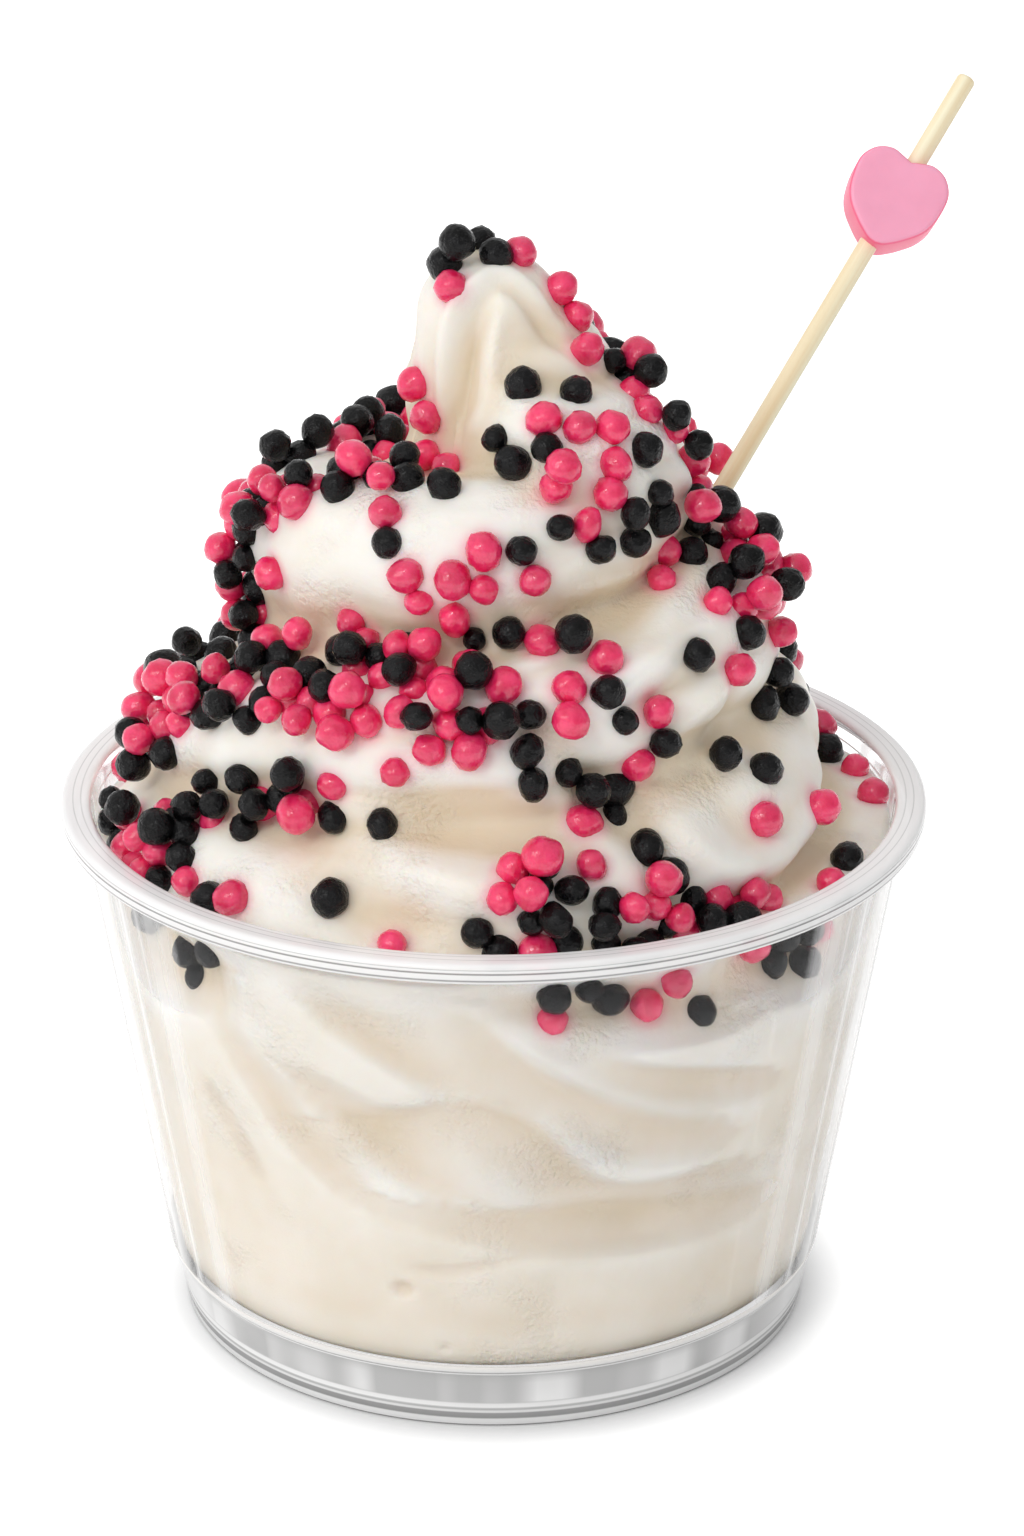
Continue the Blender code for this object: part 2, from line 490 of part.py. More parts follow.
def pearl_spots(skin):
    """Pearls along their strings and trails, each as put_pearl adds it."""
    points = skin_points(skin)
    draw = np.random.default_rng(PEARL_SEED)
    pearls = []
    for colours, spots in PEARL_STRINGS.values():
        turns, levels = grid_places(points, spots)
        for colour, turn, level in zip(colours, turns, levels):
            put_pearl(pearls, points, turn, level, pearl_radius(draw), colour == "p")
    for width, count, pink_share, route in PEARL_TRAILS.values():
        turns, levels = grid_places(points, route)
        for number in range(count):
            pink = draw.uniform() < pink_share
            radius = pearl_radius(draw)
            for place in (number + draw.uniform(size=PEARL_TRIES)) * (len(route) - 1) / count:
                turn, level = (np.interp(place, range(len(route)), on) for on in (turns, levels))
                aside, up = draw.normal(size=2) * width * 0.6
                around = max(math.hypot(*points[int(level), 0, :2]), 8.0)
                if put_pearl(pearls, points, turn + math.degrees(aside / around), level + up, radius, pink):
                    break
    return pearls


def grid_places(points, spots):
    """Azimuths of spots and the grid rows of their heights."""
    turns, heights = np.array(spots, float).T
    columns = np.round((turns / 360 + 0.5) * points.shape[1]).astype(int) % points.shape[1]
    return turns, np.argmin(np.abs(points[:, columns, 2] - heights), axis=0)


def pearl_radius(draw):
    """A pearl's radius, by chance."""
    return float(np.clip(draw.normal(PEARL_MEAN, PEARL_SPREAD), PEARL_SMALL, PEARL_LARGE))


def put_pearl(pearls, points, turn, level, radius, pink):
    """Add a pearl where there is room: centre, way out of the skin, radius, pink, on the skin."""
    spot, outward = skin_spot(points, turn, level)
    centres = [spot + outward * radius * lift for lift in PEARL_LIFTS]
    free = [fits(centre, radius, pearls) for centre in centres]
    if any(free):
        lowest = free.index(True)
        pearls.append((centres[lowest], outward, radius, pink, lowest == 0))
    return any(free)


def skin_spot(points, turn, row):
    """A point of the skin and the direction out of it, from an azimuth and a grid row."""
    rows, columns = points.shape[:2]
    row = min(max(row, 2.0), rows - 3.0)
    column = (turn / 360 + 0.5) * columns
    r, c = int(row), int(math.floor(column))
    fr, fc = row - r, column - c
    c, after = c % columns, (c + 1) % columns
    low = points[r, c] * (1 - fc) + points[r, after] * fc
    high = points[r + 1, c] * (1 - fc) + points[r + 1, after] * fc
    around = points[r, (c + 2) % columns] - points[r, (c - 2) % columns]
    upward = points[min(r + 2, rows - 1), c] - points[r - 2, c]
    outward = np.cross(around, upward)
    return low * (1 - fr) + high * fr, outward / max(np.linalg.norm(outward), 1e-9)


def fits(centre, radius, pearls):
    """Whether a pearl stays off the others, the cup's wall and the pick."""
    if math.hypot(centre[0], centre[1]) + radius > wall_inside(min(centre[2], LIP_TOP)) - GAP:
        return False
    if centre[2] < LIP_TOP + radius and math.hypot(centre[0], centre[1]) + radius > LIP_INNER_RADIUS - GAP:
        return False
    from_entry = Vector(centre) - PICK_ENTRY
    off_pick = (from_entry - PICK_LEAN * from_entry.dot(PICK_LEAN)).length
    if off_pick < radius + PICK_DIAMETER / 2 + 2 * GAP:
        return False
    return all(np.linalg.norm(centre - other[0]) > PEARL_CROWDING * (radius + other[2]) for other in pearls)


def beads(pearls):
    """The largest pearls on the skin that stand clear of each other, in a collection."""
    together = bpy.data.collections.new("beads")
    chosen = []
    for centre, outward, radius, _, on_skin in sorted(pearls, key=lambda pearl: -pearl[2]):
        apart = [np.linalg.norm(centre - other) / (radius + size) for other, size in chosen]
        if not on_skin or min(apart, default=9.0) < SOLID_CLEARANCE or len(chosen) == SOLID_PEARLS:
            continue
        chosen.append((centre, radius))
        turned = Vector(outward).to_track_quat("Z", "Y").to_matrix().to_4x4()
        place = Matrix.Translation(Vector(centre) * MM) @ turned
        form = bmesh.new()
        bmesh.ops.create_icosphere(form, subdivisions=1, radius=radius * BEAD_OVERSIZE * MM, matrix=place)
        bead = bpy.data.meshes.new("bead")
        form.to_mesh(bead)
        form.free()
        together.objects.link(bpy.data.objects.new("bead", bead))
    return together


def apply_modifiers(thing):
    """Replace an object's mesh by what its modifiers make of it."""
    seen = thing.evaluated_get(bpy.context.evaluated_depsgraph_get())
    result = bpy.data.meshes.new_from_object(seen)
    thing.modifiers.clear()
    thing.data = result


def pick_placing():
    """The pick's own frame: its foot at the origin, its length along Z."""
    foot = (PICK_ENTRY - PICK_LEAN * PICK_SUNK) * MM
    return Matrix.Translation(foot) @ PICK_LEAN.to_track_quat("Z", "Y").to_matrix().to_4x4()


def rod(name, radius, length):
    """A round rod with rounded ends, its foot at the origin."""
    turns = [math.radians(angle) for angle in (0, 45, 90)]
    foot = [(radius * math.sin(turn), radius * (1 - math.cos(turn)) / 2) for turn in turns]
    head = [(across, length - up) for across, up in reversed(foot)]
    return turned_mesh(name, [*foot, *head], PICK_SIDES)


def pick():
    """The wooden pick, which leans out of the swirl to the right and the back."""
    wood = material("pale_wood", (0.88, 0.74, 0.47), 0.5)
    made = add_object("pick", rod("pick", PICK_DIAMETER / 2, PICK_SUNK + PICK_SHOWN), wood)
    made.matrix_world = pick_placing()
    return made


def pick_cutter(name):
    """What a hole for the pick takes away: it ends GAP beyond the pick's foot."""
    bore = rod(name, PICK_DIAMETER / 2 + GAP, PICK_SUNK + PICK_SHOWN + 20)
    made = add_object(name, bore)
    made.matrix_world = pick_placing() @ Matrix.Translation((0, 0, -GAP * MM))
    return made


def soft_serve():
    """The swirl with its largest pearls, cut round the pick."""
    skin = cream_skin(CREAM_COLUMNS, CREAM_ROWS)
    cream = material("soft_serve", (0.93, 0.89, 0.82), 0.4)
    made = add_object("soft_serve", cream_mesh(skin), cream)
    thin = made.modifiers.new("thin", "DECIMATE")
    thin.ratio = CREAM_TRIANGLES / (2 * CREAM_COLUMNS * CREAM_ROWS)
    bore = pick_cutter("pick_hole")
    cut = made.modifiers.new("cut", "BOOLEAN")
    cut.operation = "DIFFERENCE"
    cut.object = bore
    together = beads(pearl_spots(skin))
    fuse = made.modifiers.new("fuse", "BOOLEAN")
    fuse.operation = "UNION"
    fuse.operand_type = "COLLECTION"
    fuse.collection = together
    apply_modifiers(made)
    for bead in list(together.objects):
        bpy.data.objects.remove(bead)
    bpy.data.collections.remove(together)
    bpy.data.objects.remove(bore)
    return made


def heart_outline():
    """The heart's edge: down its right half, then up its left half."""
    knots = np.arange(len(HEART_HALF))
    fine = np.linspace(0, len(HEART_HALF) - 1, 2 * len(HEART_HALF) - 1)
    across, up = (smooth_curve(fine, knots, values) for values in zip(*HEART_HALF))
    right = list(zip(across, up))
    return right + [(-x, y) for x, y in reversed(right[1:-1])]


def heart():
    """The heart: a bevelled slab threaded on the pick through its tip and its notch."""
    form = bmesh.new()
    corners = [form.verts.new((x * MM, y * MM, -HEART_THICKNESS / 2 * MM)) for x, y in heart_outline()]
    face = form.faces.new(corners)
    grown = bmesh.ops.extrude_face_region(form, geom=[face])
    raised = [part for part in grown["geom"] if isinstance(part, bmesh.types.BMVert)]
    bmesh.ops.translate(form, verts=raised, vec=(0, 0, HEART_THICKNESS * MM))
    bmesh.ops.recalc_face_normals(form, faces=form.faces)
    level = [edge for edge in form.edges if abs(edge.verts[0].co.z - edge.verts[1].co.z) < MM / 100]
    bmesh.ops.bevel(form, geom=level, offset=HEART_EDGE * MM, segments=1, affect="EDGES")
    mesh = bpy.data.meshes.new("heart")
    form.to_mesh(mesh)
    form.free()
    pink = material("heart_pink", (0.98, 0.36, 0.52), 0.35)
    made = add_object("heart", mesh, pink)
    outward = (FACES_TOWARDS - PICK_LEAN * FACES_TOWARDS.dot(PICK_LEAN)).normalized()
    right = PICK_LEAN.cross(outward)
    turned = Matrix((right, PICK_LEAN, outward)).transposed().to_4x4()
    turned = turned @ Matrix.Rotation(math.radians(HEART_TURN), 4, "Z")
    made.matrix_world = Matrix.Translation((PICK_ENTRY + PICK_LEAN * HEART_FROM_ENTRY) * MM) @ turned
    bore = pick_cutter("heart_hole")
    cut = made.modifiers.new("bore", "BOOLEAN")
    cut.object = bore
    bpy.context.view_layer.update()
    apply_modifiers(made)
    bpy.data.objects.remove(bore)
    return made


def main():
    for old in list(bpy.data.objects):
        bpy.data.objects.remove(old)
    for piece in (cup(), soft_serve(), pick(), heart()):
        piece.location.x += CUP_AXIS_X * MM


main()
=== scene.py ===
"""Looks for a clear cup of soft serve, dusted with sugar pearls, with a heart on a pick.

Sizes are in millimetres round the cup's axis, and become metres as each mesh is made.
An azimuth is an angle in degrees round that axis: 0 is the front, -Y, and it grows
towards +X.
"""

import math

import bmesh
import bpy
import numpy as np
from mathutils import Matrix, Vector


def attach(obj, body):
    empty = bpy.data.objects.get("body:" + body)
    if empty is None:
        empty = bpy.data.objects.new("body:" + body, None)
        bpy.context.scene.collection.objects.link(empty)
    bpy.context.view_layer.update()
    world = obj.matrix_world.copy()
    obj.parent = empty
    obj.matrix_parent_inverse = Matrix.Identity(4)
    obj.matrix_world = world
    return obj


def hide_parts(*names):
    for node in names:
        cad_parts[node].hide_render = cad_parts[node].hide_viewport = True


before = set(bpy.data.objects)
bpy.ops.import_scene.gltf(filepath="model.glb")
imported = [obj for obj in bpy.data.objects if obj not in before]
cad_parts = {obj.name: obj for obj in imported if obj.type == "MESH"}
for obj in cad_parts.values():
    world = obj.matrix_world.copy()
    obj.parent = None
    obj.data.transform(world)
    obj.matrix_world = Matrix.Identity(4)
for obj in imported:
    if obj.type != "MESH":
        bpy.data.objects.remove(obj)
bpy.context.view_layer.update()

MM = 0.001
GAP = 0.3                      # between pieces that touch
CUP_AXIS_X = -2.76             # half of what the pick reaches beyond the lip

# Cup: a straight tapered wall with a rolled lip and a stacking ledge, whose floor sits
# level with the ledge on a hollow foot ring.
CUP_SIDES = 192
LIP_RADIUS = 49.0
LIP_INNER_RADIUS = 45.6
LIP_TOP = 62.4
LIP_BOTTOM = 60.0
WALL_TOP_RADIUS = 46.8         # outside, just under the lip
WALL_LEDGE_RADIUS = 38.0       # outside, just above the stacking ledge
WALL = 1.5
LEDGE = 7.9
LEDGE_STEP = 0.8
FLOOR_THICKNESS = 1.4
FOOT_TOP_RADIUS = 37.2
FOOT_RADIUS = 36.1
FOOT_WALL = 1.3
FOOT_BEAD = 0.6                # what the ring's bottom edge adds inside
FOOT_BEAD_HEIGHT = 2.2

# Soft serve. A rope's rows give azimuth, middle height, how far its skin reaches from
# the cup's axis, and half its thickness. The helix climbs one turn in 360 degrees.
HELIX = (
    (-990, 50, 44, 9), (-900, 53, 44, 9), (-810, 57, 43.5, 9), (-720, 60, 41.5, 11),
    (-630, 67.5, 36.8, 10.5), (-540, 69, 36.5, 9.2), (-450, 67, 39, 8.5), (-405, 75.5, 34.8, 10),
    (-360, 78.5, 33.8, 10), (-315, 82, 32.5, 9.8), (-270, 83.5, 32.2, 13),
    (-225, 87.5, 31, 10.5), (-180, 90, 29.7, 9), (-135, 90.3, 28.3, 9), (-90, 91.8, 27.6, 9.4),
    (-45, 94.5, 26.3, 9), (0, 96, 25.8, 9), (36, 98, 23.6, 7.5), (60, 98.5, 22.6, 6.5),
    (90, 98.5, 22.3, 6.5), (180, 102, 16, 6), (270, 105, 7, 5),
)
TOP_FOLD = (
    (-30, 105, 8, 3), (0, 106, 14, 6), (20, 105.5, 20.5, 7), (45, 104.5, 22.6, 7.6),
    (70, 103, 21.4, 7.6), (100, 103, 19.4, 7), (150, 105, 17.5, 7.5), (200, 107, 15, 7),
    (250, 109, 10, 5), (300, 110, 7, 4),
)
SHOULDER = (
    (-10, 111.5, 7, 4), (25, 111.5, 10.5, 6), (60, 111, 12.6, 7), (100, 111, 12.4, 7),
    (150, 112, 12, 7), (200, 112, 10, 6), (260, 111, 7, 4),
)
NECK = (
    (-20, 107, 8, 5), (10, 107.5, 13, 6.2), (45, 107.5, 15.7, 6.7), (90, 107, 15.8, 6.5),
    (140, 107.5, 13, 6.5), (180, 107, 9, 5),
)
ROPES = (HELIX, TOP_FOLD, SHOULDER, NECK)
BLEND = 1.0                    # how softly one rope runs into the next
RIDGES = 9                     # left round the rope by the nozzle
RIDGE_TWIST = 0.5
RIDGE_DEPTH = (                # azimuth along the helix, depth as a share of half its thickness
    (-990, 0.03), (-540, 0.04), (-360, 0.08), (-220, 0.06), (-120, 0.015), (0, 0.04),
    (90, 0.12), (180, 0.12), (300, 0.08),
)
PEAK_RADIUS = 8.3
PEAK_FOOT = 96.0
PEAK_TAPER, PEAK_TAPER_FROM = 0.08, 112.0
PEAK_BALL = 118.1              # middle of its round end
PEAK_OFFSET = -0.15            # along X
CORE = ((34, 57), (30, 74), (24.5, 87), (14, 98), (2.5, 110))     # bulging outline, foot to tip
FILL_LEVEL = 58.5              # of the soft serve between the swirl and the wall, at
FILL_RADIUS, FILL_SLOPE = 40, 0.12     # this radius; it falls away outwards
FILL_BLEND = 0.8
BANK_RISE = 2.0                # it stands higher on the right
BANK_AZIMUTH, BANK_SPREAD = 95, 35
CREAM_FLOOR = LEDGE + GAP
CREAM_COLUMNS, CREAM_ROWS = 240, 170

# The skin is found by looking in from outside along rays that aim at this outline of
# radius and height. They slope up and away by the tilt, which turns upright at the tip.
AIM = (
    (36.2, CREAM_FLOOR), (44.6, 57), (37, 66), (33, 85), (26, 99), (12, 112), (7.5, 122), (0, 126),
)
AIM_WALL_TOP = 56.0
TILT_LOW, TILT_HIGH = 20, 90
TILT_FROM, TILT_TO = 116, 126
RAY_START = 52.0
RAY_STEPS = 70
RAY_HALVINGS = 9

# Folds: half width above and below, rise (below 0 a crease), then azimuth and height
# along it, from left to right
SWIRL_FOLDS = {
    "crest of the big fold": (1.6, 1.6, 0.9, ((-75, 96.4), (-59, 99.9), (-48, 102), (-29, 103), (-12, 104))),
    "rib under the top fold": (1.5, 1.5, 1.0, ((17, 94), (32, 94), (50, 94.5))),
    "furrow under that rib": (2.2, 2.2, -1.2, ((24, 90), (37, 91), (48, 92.5))),
    "upper front rib": (1.2, 1.2, 0.7, ((-4, 89.3), (7, 90.3), (16, 91.2))),
    "front furrow": (1.2, 1.2, -0.8, ((-3, 88), (7, 88.9), (17, 89.6))),
    "lower front rib": (1.2, 1.2, 0.8, ((0, 86.7), (6, 87.6), (12, 88.1))),
    "right rib": (2.2, 2.2, 1.4, ((20, 83.5), (28, 86.2), (35, 88), (45, 90))),
    "right furrow": (2.2, 2.2, -1.0, ((28, 81.5), (36, 84), (45, 86.5), (54, 88))),
    "low right rib": (2.0, 2.0, 1.3, ((37, 77.3), (41, 79.9), (46, 82), (54, 84))),
    "low right furrow": (1.6, 1.6, -1.0, ((44, 75), (50, 77), (54, 80), (52, 84))),
    "torn edge": (1.3, 1.3, 1.3, ((34, 75.5), (44, 75), (54, 74))),
    "right lobe": (2.4, 2.4, 1.5, ((34, 71), (34, 69), (37, 66.3), (44, 63.8), (55, 63), (67, 65), (74, 68))),
    "hollow in the lobe": (3.0, 3.0, -1.3, ((42, 71), (47, 68.5), (60, 68))),
    "front rib": (2.8, 2.8, 1.6, ((-32, 73), (-24, 70.5), (-13, 68.5), (-2, 67.2), (8, 66))),
    "front hollow": (2.6, 2.6, -0.8, ((-19, 76), (-10, 72.5), (0, 70.5), (10, 69.3), (17, 69))),
    "rib over the hollow": (2.6, 2.6, 1.2, ((-15, 78.9), (-2, 77.8), (9, 75), (19, 71.5))),
    "low front hollow": (4.0, 4.0, -2.3, ((-36, 67), (-22, 64.6), (-11, 63), (0, 62.5))),
    "low front rib": (2.6, 2.6, 1.0, ((-42, 64.5), (-30, 62.6), (-21, 60), (-12, 58))),
    "seam down the front": (3.0, 3.0, -2.2, ((7, 84.7), (15, 79), (22, 74), (26, 70), (29, 65), (33, 60))),
    "edge of the top fold": (1.6, 1.6, 0.8, ((66, 108), (65, 103.6), (76, 96))),
    "trough in the peak": (1.5, 1.5, -1.7, (
        (-24, 107.7), (-20, 112), (-17, 116.4), (-12, 119.5), (-5, 121.4),
    )),
    "rib by the trough": (1.2, 1.2, 0.6, ((-18, 107), (-7, 110.2), (-3, 114.2), (0, 118.1), (6, 120.8))),
    "arch of the peak": (1.0, 1.0, 0.7, (
        (-40, 107.4), (-40, 112.5), (-39, 118), (-35, 121.2), (-22, 123.1), (0, 124.1), (25, 123.8),
        (43, 122.5), (52, 120.4), (60, 117.5),
    )),
    "groove in the arch": (1.1, 1.1, -0.9, (
        (-26, 107), (-24, 113), (-22, 118), (-17, 121), (-4, 122.8), (12, 123.2), (26, 122.5), (35, 121),
        (42, 118.5), (51, 115.5), (61, 111.8),
    )),
    "groove left of the arch": (0.9, 0.9, -0.4, (
        (-50, 107.6), (-51, 113.3), (-50, 119), (-45, 121.8), (-35, 123.3),
    )),
}
WALL_FOLDS = {
    "upper left": (5.0, 1.8, -1.3, ((-27, 53.5), (-17.5, 49.8), (-11, 46.9), (-2, 43.5))),
    "under the long ridge": (
        1.7, 5.0, -1.6, ((-11, 57), (-3, 52.3), (2.5, 48), (8, 44.5), (16, 41), (25, 37.7), (40, 35)),
    ),
    "under the wave": (1.5, 5.5, -1.6, (
        (-25, 38.5), (-14, 40.2), (-6, 41.8), (1, 40.9), (7, 38), (10.5, 34.4), (15, 31), (24, 29.2),
        (48, 29.8),
    )),
    "above the sweep": (5.0, 1.8, -1.2, ((-29, 42.5), (-20, 37.8), (-14, 34), (-5, 30.6))),
    "under the sweep": (1.5, 5.0, -1.1, (
        (-13, 29.5), (1, 27.6), (10.6, 27.5), (20, 27.4), (35, 25.6), (56, 23.6),
    )),
    "low": (0.9, 2.4, -0.5, ((-17, 21.8), (-8, 21.2), (1, 22.4))),
    "low crest": (1.2, 1.6, 0.3, ((-36, 21.4), (-15, 23), (1, 23.4))),
    "left": (4.6, 2.6, -0.9, ((-45, 48.5), (-37, 41), (-30.6, 35.3), (-20, 28))),
    "far left": (3.2, 2.0, -0.6, ((-52, 40), (-44, 33.5), (-38, 26))),
    "upper right": (1.5, 4.0, -1.2, ((12, 49), (23, 44.7), (32, 43.2), (50, 39.8))),
    "pit": (1.2, 1.2, -0.8, ((-15.6, 18), (-14.4, 18))),
    "small pit": (0.8, 0.8, -0.6, ((-8.7, 10.5), (-7.9, 10.5))),
    "front pocket": (5.2, 3.4, -4.3, ((0, 55), (9, 53.8), (18, 53.8), (26, 53), (38, 51.5))),
    "left pocket": (5.2, 3.6, -4.3, ((-80, 54.5), (-68, 51.5), (-58, 50.8), (-43, 53.5))),
    "right pocket": (5.2, 3.4, -4.3, ((36, 56.5), (46, 54), (56, 52.5), (68, 54))),
}
FOLD_STEPS = 5                 # between two of a fold's points
FOLD_SMOOTHING = 6

# Sugar pearls. A string has one at each spot of azimuth and height, pink or black by its
# letter.
PEARL_STRINGS = {
    "tip": ("bbbbpp", (
        (-150, 124.9), (-72, 123.5), (-50, 124.4), (10, 125.1), (80, 124.6), (-42, 122.2),
    )),
    "right edge of the peak": ("pppb", ((84, 120.9), (83, 117.9), (60, 115.8), (76, 113.3))),
    "front of the peak": ("bbpbpp", (
        (16, 113.3), (36, 112.6), (19, 111.3), (18, 109.2), (28, 110.6), (38, 110),
    )),
    "on the top fold": ("ppppp", ((22, 107), (36, 107), (19, 104.8), (33, 104.4), (25, 101.3))),
    "seam of the top fold": ("bbbbbbbb", (
        (3, 108.6), (8.5, 106.6), (13.5, 103.6), (17.5, 101.1), (28, 98.5), (39, 98.2), (37, 101.9),
        (50, 102.8),
    )),
    "end of that seam": ("bbpp", ((47, 107.4), (51, 99.6), (57, 95.2), (51, 92.4))),
    "left of the peak": ("pppbb", ((-68, 111), (-54, 107.9), (-49, 103.8), (-15, 104.5), (-29, 104.2))),
    "on the big fold": ("pbpppb", ((-29, 102), (-26, 99.4), (-20, 96.8), (-9, 96.8), (-2, 99.6), (7, 99.5))),
    "low on the big fold": ("ppppp", ((-2, 95.9), (10, 96.3), (-17, 93.8), (-9, 92), (-62, 92.8))),
    "middle": ("bpbpppbb", (
        (4, 90.4), (12, 89), (18, 88.5), (24, 87.7), (15, 86.2), (15, 83.3), (7, 83.2), (6, 80),
    )),
    "right seam": ("bbpbpp", ((22, 85.8), (25, 82.2), (33, 82), (34, 78.7), (29, 76.6), (28, 73.8))),
    "right flank": ("bbpppp", ((45, 86.6), (60, 86.8), (57, 90.2), (69, 88.5), (76, 83.8), (54, 84))),
    "low on that flank": ("bbbbbpp", (
        (75, 79.6), (69, 76.7), (79, 74.8), (49, 74.9), (56, 72.3), (52, 67.8), (67, 66.1),
    )),
    "right rim": ("pbbp", ((84, 59.9), (77, 59.7), (69, 59.4), (61, 58.9))),
    "on the front": ("pppbbp", ((-11, 80.4), (-4, 80.4), (-17, 77.8), (-20, 71), (-26, 64), (-15, 60.4))),
    "front seam": ("bbbbpbpbb", (
        (7, 76.9), (14, 77), (16, 74.2), (25, 73.8), (17, 71.8), (24, 71), (16, 68.5), (27, 68.6), (30, 66),
    )),
    "in the front pocket": ("bpbpbp", ((9, 55.5), (9, 51.9), (18, 54), (24, 52.6), (33, 50.4), (28, 55.2))),
    "in the left pocket": ("bbbbb", ((-71, 52.2), (-54, 53.2), (-47, 55), (-62, 47.8), (-53, 49.6))),
    "in the right pocket": ("bbpp", ((49, 52.3), (56, 50.7), (43, 56.3), (61, 53.5))),
}
# A trail scatters them: half width, how many, the share that is pink, and its route
PEARL_TRAILS = {
    "right of the peak": (1.6, 8, 0.6, ((84, 113), (72, 111.5), (60, 109.5), (66, 107))),
    "right shoulder": (2.4, 24, 0.5, ((72, 102), (75, 98.5), (80, 95), (80, 92.5), (80, 90))),
    "right flank": (1.8, 5, 0.6, ((62, 93), (68, 90.5), (64, 88))),
    "right rim": (0.9, 5, 0.6, ((96, 59.9), (88, 59.9), (66, 59), (57, 58.6))),
    "front right rim": (0.9, 9, 0.5, ((51, 58.8), (45, 60), (38, 61.5), (30, 62))),
    "foot of the front": (2.6, 26, 0.45, (
        (1, 67.2), (6, 67.9), (10, 66), (18, 64.6), (26, 63.6), (34, 60.5),
    )),
    "edge of the front": (0.9, 9, 0.4, (
        (-2, 62.8), (1, 60.5), (10, 60.4), (16, 60.3), (23, 59.7), (30, 59.4),
    )),
    "under the big fold": (1.6, 9, 0.3, ((-9, 81.6), (-4, 82.8), (1, 83.6), (3, 85.4))),
    "groove on the left": (2.5, 22, 0.5, ((-50, 86), (-35, 87), (-25, 87), (-14, 87), (-6, 86.6))),
    "below that groove": (2.7, 24, 0.4, ((-53, 81.8), (-34, 81.8), (-20, 83.6), (-12, 84.8))),
    "left column": (2.2, 34, 0.45, ((-84, 97), (-82, 92), (-86, 87), (-80, 82), (-62, 83), (-58, 80))),
    "upper left flank": (3.4, 26, 0.45, ((-56, 79), (-72, 76.5), (-84, 73), (-80, 69))),
    "lower left flank": (
        3.6, 30, 0.45, ((-84, 62), (-70, 62.5), (-58, 65), (-54, 68), (-40, 72.8), (-29, 73)),
    ),
    "left rim": (1.1, 13, 0.6, ((-72, 59.4), (-58, 60.5), (-46, 62.5), (-39, 61.4), (-50, 60))),
    "back of the shelf": (2.0, 18, 0.5, ((-94, 99.4), (-117, 99.2), (-139, 99), (-151, 99))),
    "front of the shelf": (1.8, 24, 0.5, ((-78, 97), (-66, 99.5), (-52, 103), (-40, 103.6), (-31, 104.1))),
    "above the pockets": (0.8, 7, 0.5, ((-72, 55.5), (-62, 54.5), (38, 56), (52, 55.5), (64, 56))),
    "back shoulder": (3.0, 34, 0.5, ((95, 97), (140, 97), (180, 96), (220, 95), (255, 93))),
    "back of the top": (2.4, 18, 0.5, ((100, 112), (150, 111), (200, 109))),
    "back groove": (3.0, 42, 0.5, ((105, 81), (150, 82), (200, 83), (255, 82))),
    "back flank": (4.0, 40, 0.5, ((105, 70), (150, 71), (200, 72), (260, 72))),
    "back rim": (2.2, 30, 0.5, ((100, 60), (140, 60.5), (180, 60.5), (220, 60), (262, 59))),
}
PEARL_SEED = 11
PEARL_TRIES = 8
PEARL_MEAN, PEARL_SPREAD = 1.84, 0.16      # radius
PEARL_SMALL, PEARL_LARGE = 1.4, 2.25
PEARL_LIFTS = 0.3, 1.45, -0.2      # from the skin, in radii: on it, on other pearls, or sunk in
PEARL_CROWDING = 0.84          # centres stay this share of two radii apart

# Pick and heart
PICK_DIAMETER = 2.2
PICK_SIDES = 40
PICK_ENTRY = Vector((25.46, 4.0, 96.38))   # a point of its axis at the swirl's shoulder
PICK_LEAN = Vector((0.713, 0.700, 1.0)).normalized()
PICK_SUNK = 32.0
PICK_SHOWN = 56.3
HEART_HALF = (                 # right half of its edge about its middle, notch to tip
    (0, 5.15), (1.0, 5.5), (2.5, 5.85), (4.1, 5.3), (5.2, 4.0), (5.55, 2.4), (5.25, -0.3),
    (4.4, -2.1), (2.95, -3.6), (1.85, -4.5), (0.9, -5.1), (0, -5.3),
)
HEART_FROM_ENTRY = 38.35       # its middle, along the pick
HEART_THICKNESS = 5.2
HEART_TURN = 6.0               # degrees about its own thickness
FACES_TOWARDS = Vector((-0.08, -0.96, 0.27))
HEART_STEPS = 6                # between two of its edge's points
HEART_SOFT = 0.55              # radius of the round between its faces and its side
HEART_FACE_RINGS = 0.2, 0.5, 0.8

# The soft serve's skin, finer than the solid's
FINE_COLUMNS, FINE_ROWS = 384, 250
INTO_WALL = 0.25               # how far it reaches into the cup's wall
LUMPS = 0.28                   # height of its soft unevenness
LUMP_WAVES, LUMP_SHORTEST, LUMP_LONGEST = 22, 7, 24
LUMP_SEED = 5
FOLD_BLURS = 4, 9, 18          # grid steps, for folds of three sizes
FOLD_LOW, FOLD_LOW_TOP, FOLD_LOW_FADE = 0.55, 20, 8     # least depth near the cup's floor, which keeps the painted fold shade light there
STAIN_REACH, STAIN_DEPTH = 1.2, 0.4     # of pink round a pearl

# Pearls as round balls, each a little out of round
PEARL_STRETCH, PEARL_DENTS = 0.06, 0.03     # shares of its radius
PEARL_DENT_WAVES, PEARL_DENT_SPACING = 6, 16
PINK_SEED, BLACK_SEED = 21, 22

